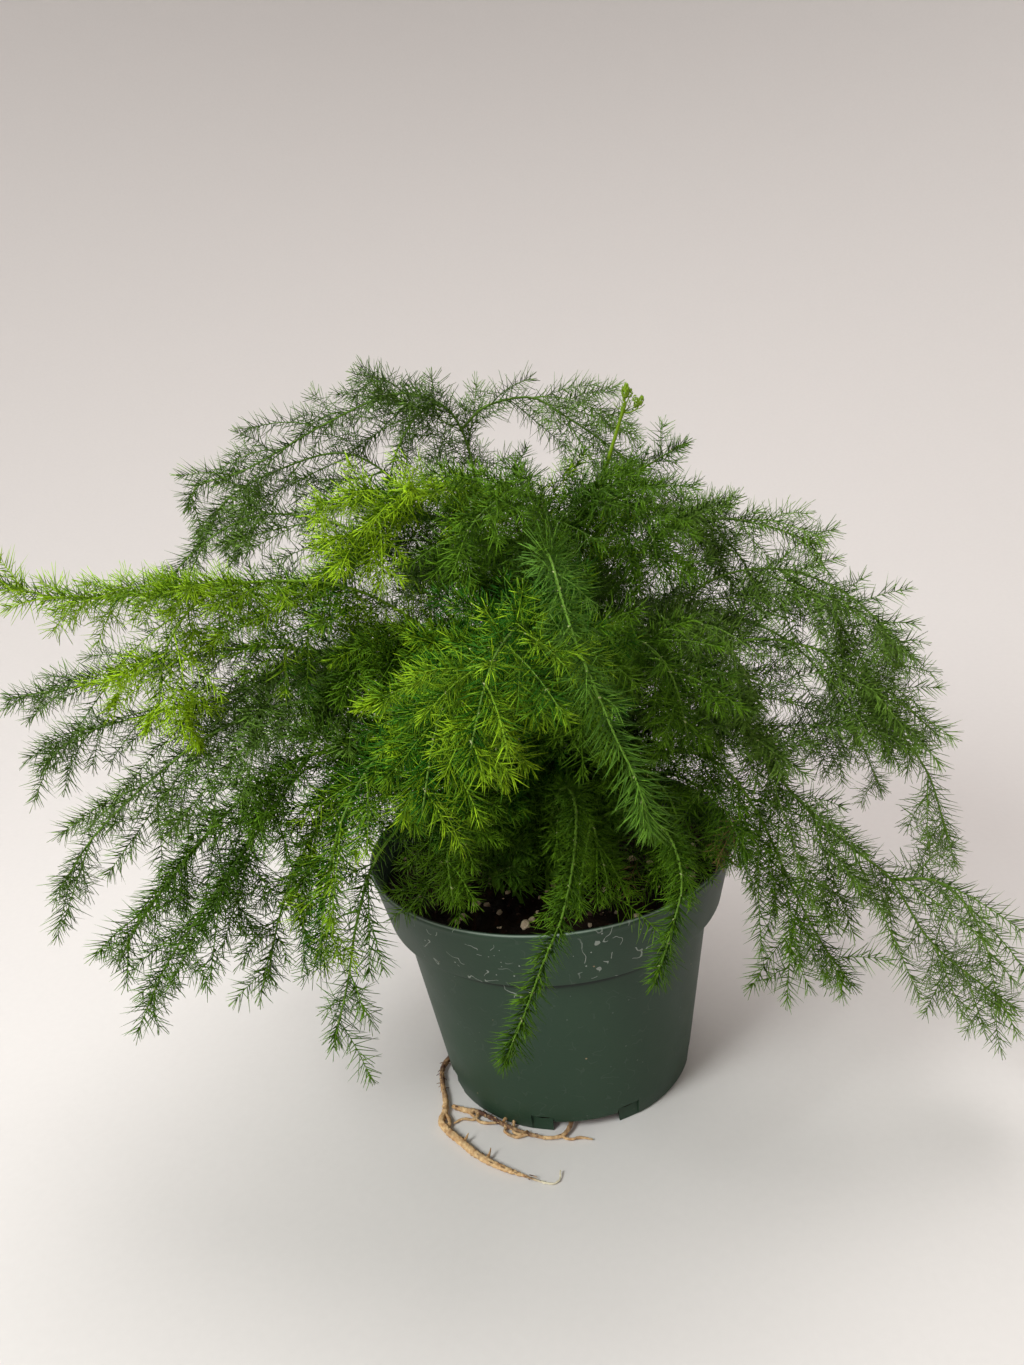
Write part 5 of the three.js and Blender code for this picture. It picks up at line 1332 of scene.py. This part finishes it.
class FERN_OT_pot(bpy.types.Operator):
    """Model the pot: a spun wall with a rim band, drain slots and pads"""
    bl_idname = "fern.pot"
    bl_label = "Pot"

    def execute(self, context):
        settings = context.scene.fern_pot
        pot = spun("nursery_pot", self.profile(settings), settings.steps)
        slots = [self.cutter(turn, SLOT_WIDTH, SLOT_HEIGHT, SLOT_INNER) for turn in self.slot_turns()]
        cut(pot, slots)
        face = BASE_RADIUS - PAD_DEPTH
        pad_turn = math.atan((SLOT_WIDTH + PAD_WIDTH) / 2 / BASE_RADIUS)
        turns = [turn + side * pad_turn for turn in self.slot_turns() for side in (-1, 1)]
        cut(pot, [self.cutter(turn, PAD_WIDTH, PAD_HEIGHT, face) for turn in turns])
        only(pot)
        bpy.ops.object.shade_smooth_by_angle(angle=math.radians(40))
        named(pot, "nursery_pot", pot_material(settings))
        finish_piece(pot, "pot_plastic", "pot")
        return {"FINISHED"}

    @staticmethod
    def slot_turns():
        return [SLOT_TURN + 2 * math.pi * i / SLOT_COUNT for i in range(SLOT_COUNT)]

    @staticmethod
    def cutter(turn, width, height, inner):
        """A box across the foot of the wall, from inner outwards, turned from the front."""
        outer = BASE_RADIUS + SLOT_HEIGHT
        middle = (inner + outer) / 2
        place = (middle * math.sin(turn), -middle * math.cos(turn), 0)
        deselect_all()
        bpy.ops.mesh.primitive_cube_add(size=1, location=place, rotation=(0, 0, turn),
                                        scale=(width, outer - inner, 2 * height))
        return bpy.context.object

    @staticmethod
    def profile(settings):
        """The wall's section: foot, body, step, rim band, rounded lip, inner face and floor."""
        top, rim = settings.height, settings.rim_radius
        body_edge = BODY_TOP_RADIUS - 0.0004
        over_pads = np.interp(PAD_RING, (FOOT_EDGE, STEP_HEIGHT - BODY_EDGE), (BASE_RADIUS, body_edge))
        inner_foot = BASE_RADIUS + (BODY_TOP_RADIUS - BASE_RADIUS) * FLOOR_THICKNESS / STEP_HEIGHT - WALL
        return [
            (0.0, 0.0), (BASE_RADIUS - 0.0012, 0.0), (BASE_RADIUS - 0.0004, 0.0003),
            (BASE_RADIUS, FOOT_EDGE), (over_pads, PAD_RING), (body_edge, STEP_HEIGHT - BODY_EDGE),
            (BODY_TOP_RADIUS, STEP_HEIGHT - 0.0012), (BODY_TOP_RADIUS + 0.0008, STEP_HEIGHT - 0.0006),
            (BAND_FOOT_RADIUS - 0.0012, STEP_HEIGHT - 0.0003),
            (BAND_FOOT_RADIUS - 0.0004, STEP_HEIGHT), (BAND_FOOT_RADIUS, STEP_HEIGHT + 0.0009),
            (rim - 0.0009, top - 0.0044), (rim - 0.0005, top - 0.0024), (rim, top - 0.0015),
            (rim - 0.0001, top - 0.0008), (rim - 0.0005, top - 0.0002), (rim - 0.0011, top),
            (rim - 0.0017, top - 0.0002), (rim - 0.0022, top - 0.0009),
            (BAND_FOOT_RADIUS - WALL, STEP_HEIGHT + 0.0016), (BODY_TOP_RADIUS - WALL, STEP_HEIGHT),
            (inner_foot, FLOOR_THICKNESS), (0.0, FLOOR_THICKNESS),
        ]


def soil_height(x, y):
    """Height of the soil's surface, in metres: a mound at the crown, with low uneven relief."""
    mound = SOIL_CROWN * np.exp(-(x * x + y * y) / (2 * SOIL_CROWN_WIDTH**2))
    across = np.sin(x / MM * 0.21 + 1.3) * np.cos(y / MM * 0.17)
    slanting = np.sin(x / MM * 0.09 - y / MM * 0.24 + 0.6)
    return SOIL_TOP + mound + SOIL_RELIEF * (across + slanting)


def bit_form(divisions):
    """One angular bit of about unit radius, modelled once."""
    deselect_all()
    bpy.ops.mesh.primitive_ico_sphere_add(subdivisions=divisions, radius=1.0)
    form = bpy.context.object
    bpy.ops.object.mode_set(mode="EDIT")
    bpy.ops.mesh.select_all(action="SELECT")
    bpy.ops.transform.vertex_random(offset=0.34, seed=3)
    bpy.ops.object.mode_set(mode="OBJECT")
    return form_of(form)


class FERN_OT_soil(bpy.types.Operator):
    """Model the soil with its crumbs, and the bits of grit and bark in its surface"""
    bl_idname = "fern.soil"
    bl_label = "Soil"

    crumb: FloatProperty(name="Crumbs", description="Height of the crumbs", default=0.0011, unit="LENGTH")

    def execute(self, context):
        settings = context.scene.fern_soil
        edge = SOIL_HIGH.x
        inner = BODY_TOP_RADIUS - WALL - SOIL_GAP
        foot = BASE_RADIUS - WALL - SOIL_GAP
        rings = [(radius, SOIL_TOP) for radius in np.linspace(edge, 0.0, 58)]
        profile = [(0.0, SOIL_LOW.z), (foot, SOIL_LOW.z), (inner, STEP_HEIGHT + 0.0006),
                   (edge - 0.002, STEP_HEIGHT + 0.003), *rings]
        soil = spun("potting_soil", profile, 168)
        cutters = [FERN_OT_pot.cutter(turn, SLOT_WIDTH, SLOT_HEIGHT, SLOT_INNER)
                   for turn in FERN_OT_pot.slot_turns()]
        self.raise_surface(soil, edge)
        cut(soil, cutters)
        only(soil)
        bpy.ops.object.shade_smooth_by_angle(angle=math.radians(50))
        named(soil, "potting_soil", soil_material(settings))
        finish_piece(soil, "soil_mix", "soil")
        finish_piece(self.grit(settings, edge), "soil_mix")
        return {"FINISHED"}

    def raise_surface(self, soil, edge):
        """Lift the top of the soil to its mound, and roughen it with crumbs that fade at the edge."""
        points = np.array([v.co for v in soil.data.vertices])
        top = points[:, 2] > SOIL_TOP - 0.00001
        x, y = points[top, 0], points[top, 1]
        rng = np.random.default_rng(7)
        waves = sum(np.sin(x * a + y * b + c)
                    for a, b, c in rng.uniform((-900, -900, 0), (900, 900, 6), (14, 3)))
        fade = np.clip((edge - np.hypot(x, y)) / 0.004, 0, 1)
        rough = self.crumb * (waves / 6 + rng.uniform(-0.5, 0.5, len(x)))
        points[top, 2] = soil_height(x, y) + rough * fade
        soil.data.vertices.foreach_set("co", points.ravel())
        soil.data.update()

    def grit(self, settings, edge):
        """Bits that lie half sunk in the surface: many small ones, most of them dark, and the larger
        pale ones at their own places."""
        rng = np.random.default_rng(11)
        shape = Shape("kind")
        small = bit_form(1)
        for _ in range(settings.grit_count):
            radius = (edge - 0.003) * math.sqrt(rng.random())
            turn = rng.uniform(0, 2 * math.pi)
            size = rng.choice((0.0005, 0.0008, 0.0013, 0.0019), p=(0.38, 0.34, 0.2, 0.08))
            kind = rng.choice((0.0, 0.35, 1.0), p=(0.76, 0.19, 0.05))
            self.add_bit(shape, rng, small, radius * math.cos(turn), radius * math.sin(turn), size, kind)
        large = bit_form(2)
        for x, y, size, kind in PALE_BITS:
            self.add_bit(shape, rng, large, x * MM, y * MM, size * MM / 2, kind)
        return shape.build("soil_bits", grit_material(settings), smooth=False)

    @staticmethod
    def add_bit(shape, rng, form, x, y, size, kind):
        points, triangles = form
        stretch = rng.uniform((0.8, 0.6, 0.5), (1.2, 1.0, 0.85)) * size
        spin = Matrix.Rotation(rng.uniform(0, 6.3), 3, "Z") @ Matrix.Rotation(rng.uniform(-0.7, 0.7), 3, "X")
        placed = (points * stretch) @ np.array(spin).T
        placed += (x, y, soil_height(x, y) + 0.3 * size)
        shape.add(placed / MM, triangles, kind=kind)


class FERN_OT_roots(bpy.types.Operator):
    """Model the long root and the root tangle that leave the drain slots"""
    bl_idname = "fern.roots"
    bl_label = "Roots"

    sides: IntProperty(name="Sides", description="Sides of each strand", default=10, min=5, max=24)

    def execute(self, context):
        material = root_material(context.scene.fern_roots)
        form = bit_form(1)
        shape, rng = self.grow(LONG_ROOT, (1, 1, 1, 0.35, 0.2, 0.3, 0.25, 0.35, 0.25, 0.9, 0.3), 31)
        line = smooth_line(LONG_ROOT[0][0])
        self.add_knobs(shape, line, LONG_ROOT[0][1], LONG_ROOT_KNOBS, form)
        self.add_fibres(shape, rng, line, (0.07, 0.24), 24, 3, 0.32)
        self.add_fibres(shape, rng, line, (0.24, 0.8), 12, 2, 0.2)
        self.add_flakes(shape, rng, line, (0.05, 0.26), 30, form)
        self.add_flakes(shape, rng, line, (0.3, 0.87), 60, form)
        finish_piece(shape.build("long_root", material), "root_bark", "root_long")
        shape, rng = self.grow(ROOT_TANGLE, (0.6, 0.6, 0.4, 0.5, 0.75, 1, 1, 1, 0.5, 0.3), 32)
        line = smooth_line(ROOT_TANGLE[0][0])
        self.add_knobs(shape, line, ROOT_TANGLE[0][1], TANGLE_KNOBS, form)
        self.add_fibres(shape, rng, line, (0.55, 0.85), 16, 4, 0.22)
        self.add_flakes(shape, rng, line, (0.2, 1), 22, form)
        finish_piece(shape.build("root_knot", material), "root_bark", "root_tangle")
        return {"FINISHED"}

    def grow(self, lines, stains, seed):
        """The strands of a root, each with uneven bark. Stains are how dark each stretch is."""
        rng = np.random.default_rng(seed)
        shape = Shape("tip", "stain")
        for number, (route, radii) in enumerate(lines):
            line = smooth_line(route)
            count = max(8, round(line.length / 0.6))
            share = np.linspace(0, 1, count)
            rings = 1 + 0.1 * np.sin(share * line.length * 1.7) * rng.uniform(0.2, 1, count)
            points = line.at(share)
            points[1:-1] += rng.normal(0, 0.06, (count - 2, 3))
            radius = np.interp(share, np.linspace(0, 1, len(radii)), radii) * rings
            made, triangles = tube(points, radius, self.sides)
            ridges = np.append(np.tile(rng.normal(0, 0.1, self.sides), count), (0, 0))
            centres = np.vstack([np.repeat(points, self.sides, axis=0), points[0], points[-1]])
            made = made + (made - centres) * ridges[:, None] + rng.normal(0, 0.06, made.shape)
            self.lay(made)
            places = np.append(np.repeat(share, self.sides), (0, 1))
            dark = np.interp(places, np.linspace(0, 1, len(stains)), stains) if number == 0 else 0.45
            pale = (places - 0.8) * 5 * (number == 0) * (lines is LONG_ROOT)
            shape.add(made, triangles, tip=pale, stain=dark)
        return shape, rng

    @staticmethod
    def lay(points):
        """Keep points over the surface that the plant stands on."""
        points[:, 2] = np.maximum(points[:, 2], ROOT_LOWEST)

    def add_knobs(self, shape, line, radii, knobs, form):
        """Swellings where side roots broke off."""
        points, triangles = form
        for share, way, size in knobs:
            along = line.along(share)
            side = unit(np.cross(along, UP))
            radius = np.interp(share, np.linspace(0, 1, len(radii)), radii)
            centre = line.at(share) + way * radius * side
            made = centre + points * (0.9, 0.9, 0.7) * size
            self.lay(made)
            shape.add(made, triangles, stain=0.6)

    def add_fibres(self, shape, rng, line, stretch, count, reach, thickness):
        """Short frayed fibres that stand off a stretch of the root."""
        for _ in range(count):
            share = rng.uniform(*stretch)
            along = line.along(share)
            side = unit(np.cross(along, UP)) * rng.choice((-1, 1))
            way = unit(side + along * rng.normal(0, 0.9) + UP * rng.uniform(-0.1, 0.7))
            size = reach * rng.uniform(0.4, 1)
            steps = np.linspace(0, 1, 5)[:, None]
            curl = along * rng.normal(0, 0.4) - UP * 0.3
            route = line.at(share) + size * (steps * way + steps * steps * curl)
            made, triangles = tube(route, np.linspace(thickness, thickness * 0.4, 5), 3)
            self.lay(made)
            shape.add(made, triangles, stain=1.0)

    def add_flakes(self, shape, rng, line, stretch, count, form):
        """Thin lifted flakes of bark along a stretch of the root."""
        points, triangles = form
        for _ in range(count):
            share = rng.uniform(*stretch)
            along = line.along(share)
            side = unit(np.cross(along, UP))
            turn = rng.uniform(0, math.pi)
            out = math.cos(turn) * side + math.sin(turn) * UP
            across = np.cross(out, along)
            size = rng.uniform(0.5, 1.3)
            made = line.at(share) + out * 1.05 + size * (
                points[:, :1] * across * 0.45 + points[:, 1:2] * along * 0.9 + points[:, 2:] * out * 0.2)
            self.lay(made)
            shape.add(made, triangles, stain=rng.choice((0.3, 0.9)))


class FERN_OT_shoot(bpy.types.Operator):
    """Model the young shoot with its head of folded buds"""
    bl_idname = "fern.shoot"
    bl_label = "Young shoot"

    def execute(self, context):
        settings = context.scene.fern_foliage
        material = foliage_material("shoot_green", [0.6 * c for c in settings.shoot_colour],
                                    settings.shoot_colour, settings)
        form = scale_form()
        line = smooth_line(SHOOT_ROUTE)
        shape = Shape("youth", "wood", "pale", "dry")
        add_rod(shape, line, SHOOT_RADII, 3, 8, youth=SHOOT_YOUTH)
        top = line.points[-1]
        rng = np.random.default_rng(5)
        for route, radius in SHOOT_STALKS:
            stalk = smooth_line(top + np.array(route))
            add_rod(shape, stalk, (radius, radius * 0.6), 0.6, 6, youth=STALK_YOUTH)
        for foot, head, width, count in SHOOT_BUDS:
            self.add_bud(shape, rng, form, top + np.array(foot), top + np.array(head), width, count)
        for share, turn, size in SHOOT_SCALES:
            along = line.along(share)
            across, over = square_to(along)
            out = math.cos(turn) * across + math.sin(turn) * over
            place = line.at(share) + out * 0.5
            self.add_scale(shape, form, place, along, out, size, 0.9, youth=0.5, pale=0.45)
        finish_piece(shape.build("young_spear", material), "shoot_green", "young_shoot")
        return {"FINISHED"}

    @staticmethod
    def add_scale(shape, form, place, along, out, size, breadth, **values):
        """One scale from its foot, with its back turned out."""
        points, triangles = form
        side = np.cross(along, out)
        across = points[:, :1] * out + points[:, 1:2] * side
        made = place + size * (points[:, 2:] * along + breadth * across)
        shape.add(made, triangles, **values)

    def add_bud(self, shape, rng, form, foot, head, width, count):
        """A folded bud: scales in a spiral round its axis, which close over its top."""
        length = np.linalg.norm(head - foot)
        axis = unit(head - foot)
        across, over = square_to(axis)
        for i in range(count):
            share = i / max(count - 1, 1)
            turn = GOLDEN_TURN * i + rng.normal(0, BUD_TURN_JITTER)
            out = math.cos(turn) * across + math.sin(turn) * over
            lean = BUD_LEAN * (1 - share) + rng.normal(0, BUD_LEAN_JITTER)
            along = math.cos(lean) * axis + math.sin(lean) * out
            back = math.cos(lean) * out - math.sin(lean) * axis
            size = length * (BUD_SCALE_LENGTH - BUD_SCALE_SHORTENING * share) * rng.uniform(*BUD_SCALE_RANGE)
            bulge = width * (BUD_LEAST_BULGE + BUD_BULGE * math.sin(math.pi * share))
            place = foot + axis * length * BUD_SCALE_ZONE * share + out * bulge
            youth = 0.6 * rng.random() ** 1.5 + 0.4 * share
            breadth = BUD_SCALE_WIDTH * width / size
            self.add_scale(shape, form, place, along, back, size, breadth, youth=youth, pale=0.06)


class FERN_OT_fronds(bpy.types.Operator):
    """Grow every frond: stem, forks, twigs, branchlets and needles"""
    bl_idname = "fern.fronds"
    bl_label = "Fronds"

    def execute(self, context):
        settings = context.scene.fern_foliage
        greens = {tone: foliage_material("foliage_" + tone, getattr(settings, tone + "_old"),
                                         getattr(settings, tone + "_young"), settings)
                  for tone in ("dark", "mid", "bright", "cool")}
        form = needle_form()
        for index, name in enumerate(FRONDS):
            tone = FRONDS[name][0]
            piece = frond_shape(index, name, form, settings).build("leafy_" + name, greens[tone])
            finish_piece(piece, "foliage_" + tone, "frond_" + name)
        return {"FINISHED"}


class FERN_PT_panel(bpy.types.Panel):
    """Buttons for each part of the potted fern"""
    bl_idname = "FERN_PT_panel"
    bl_label = "Potted Fern"
    bl_space_type = "VIEW_3D"
    bl_region_type = "UI"
    bl_category = "Fern"

    def draw(self, context):
        for operator in OPERATORS:
            self.layout.operator(operator.bl_idname)


SETTINGS = {
    "fern_stage": FernStageSettings,
    "fern_pot": FernPotSettings,
    "fern_soil": FernSoilSettings,
    "fern_roots": FernRootSettings,
    "fern_foliage": FernFoliageSettings,
}
OPERATORS = (FERN_OT_camera, FERN_OT_stage, FERN_OT_pot, FERN_OT_soil, FERN_OT_roots, FERN_OT_shoot,
             FERN_OT_fronds)


def register():
    for group in SETTINGS.values():
        bpy.utils.register_class(group)
    for name, group in SETTINGS.items():
        setattr(bpy.types.Scene, name, PointerProperty(type=group))
    for operator in OPERATORS:
        bpy.utils.register_class(operator)
    bpy.utils.register_class(FERN_PT_panel)


def unregister():
    bpy.utils.unregister_class(FERN_PT_panel)
    for operator in reversed(OPERATORS):
        bpy.utils.unregister_class(operator)
    for name in SETTINGS:
        delattr(bpy.types.Scene, name)
    for group in SETTINGS.values():
        bpy.utils.unregister_class(group)


def write_sizes():
    """Update the view layer."""
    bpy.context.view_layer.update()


def main():
    register()
    bpy.ops.fern.camera()
    bpy.ops.fern.stage()
    bpy.ops.fern.pot()
    bpy.ops.fern.soil()
    bpy.ops.fern.roots()
    bpy.ops.fern.shoot()
    bpy.ops.fern.fronds()
    write_sizes()


if __name__ == "__main__":
    main()
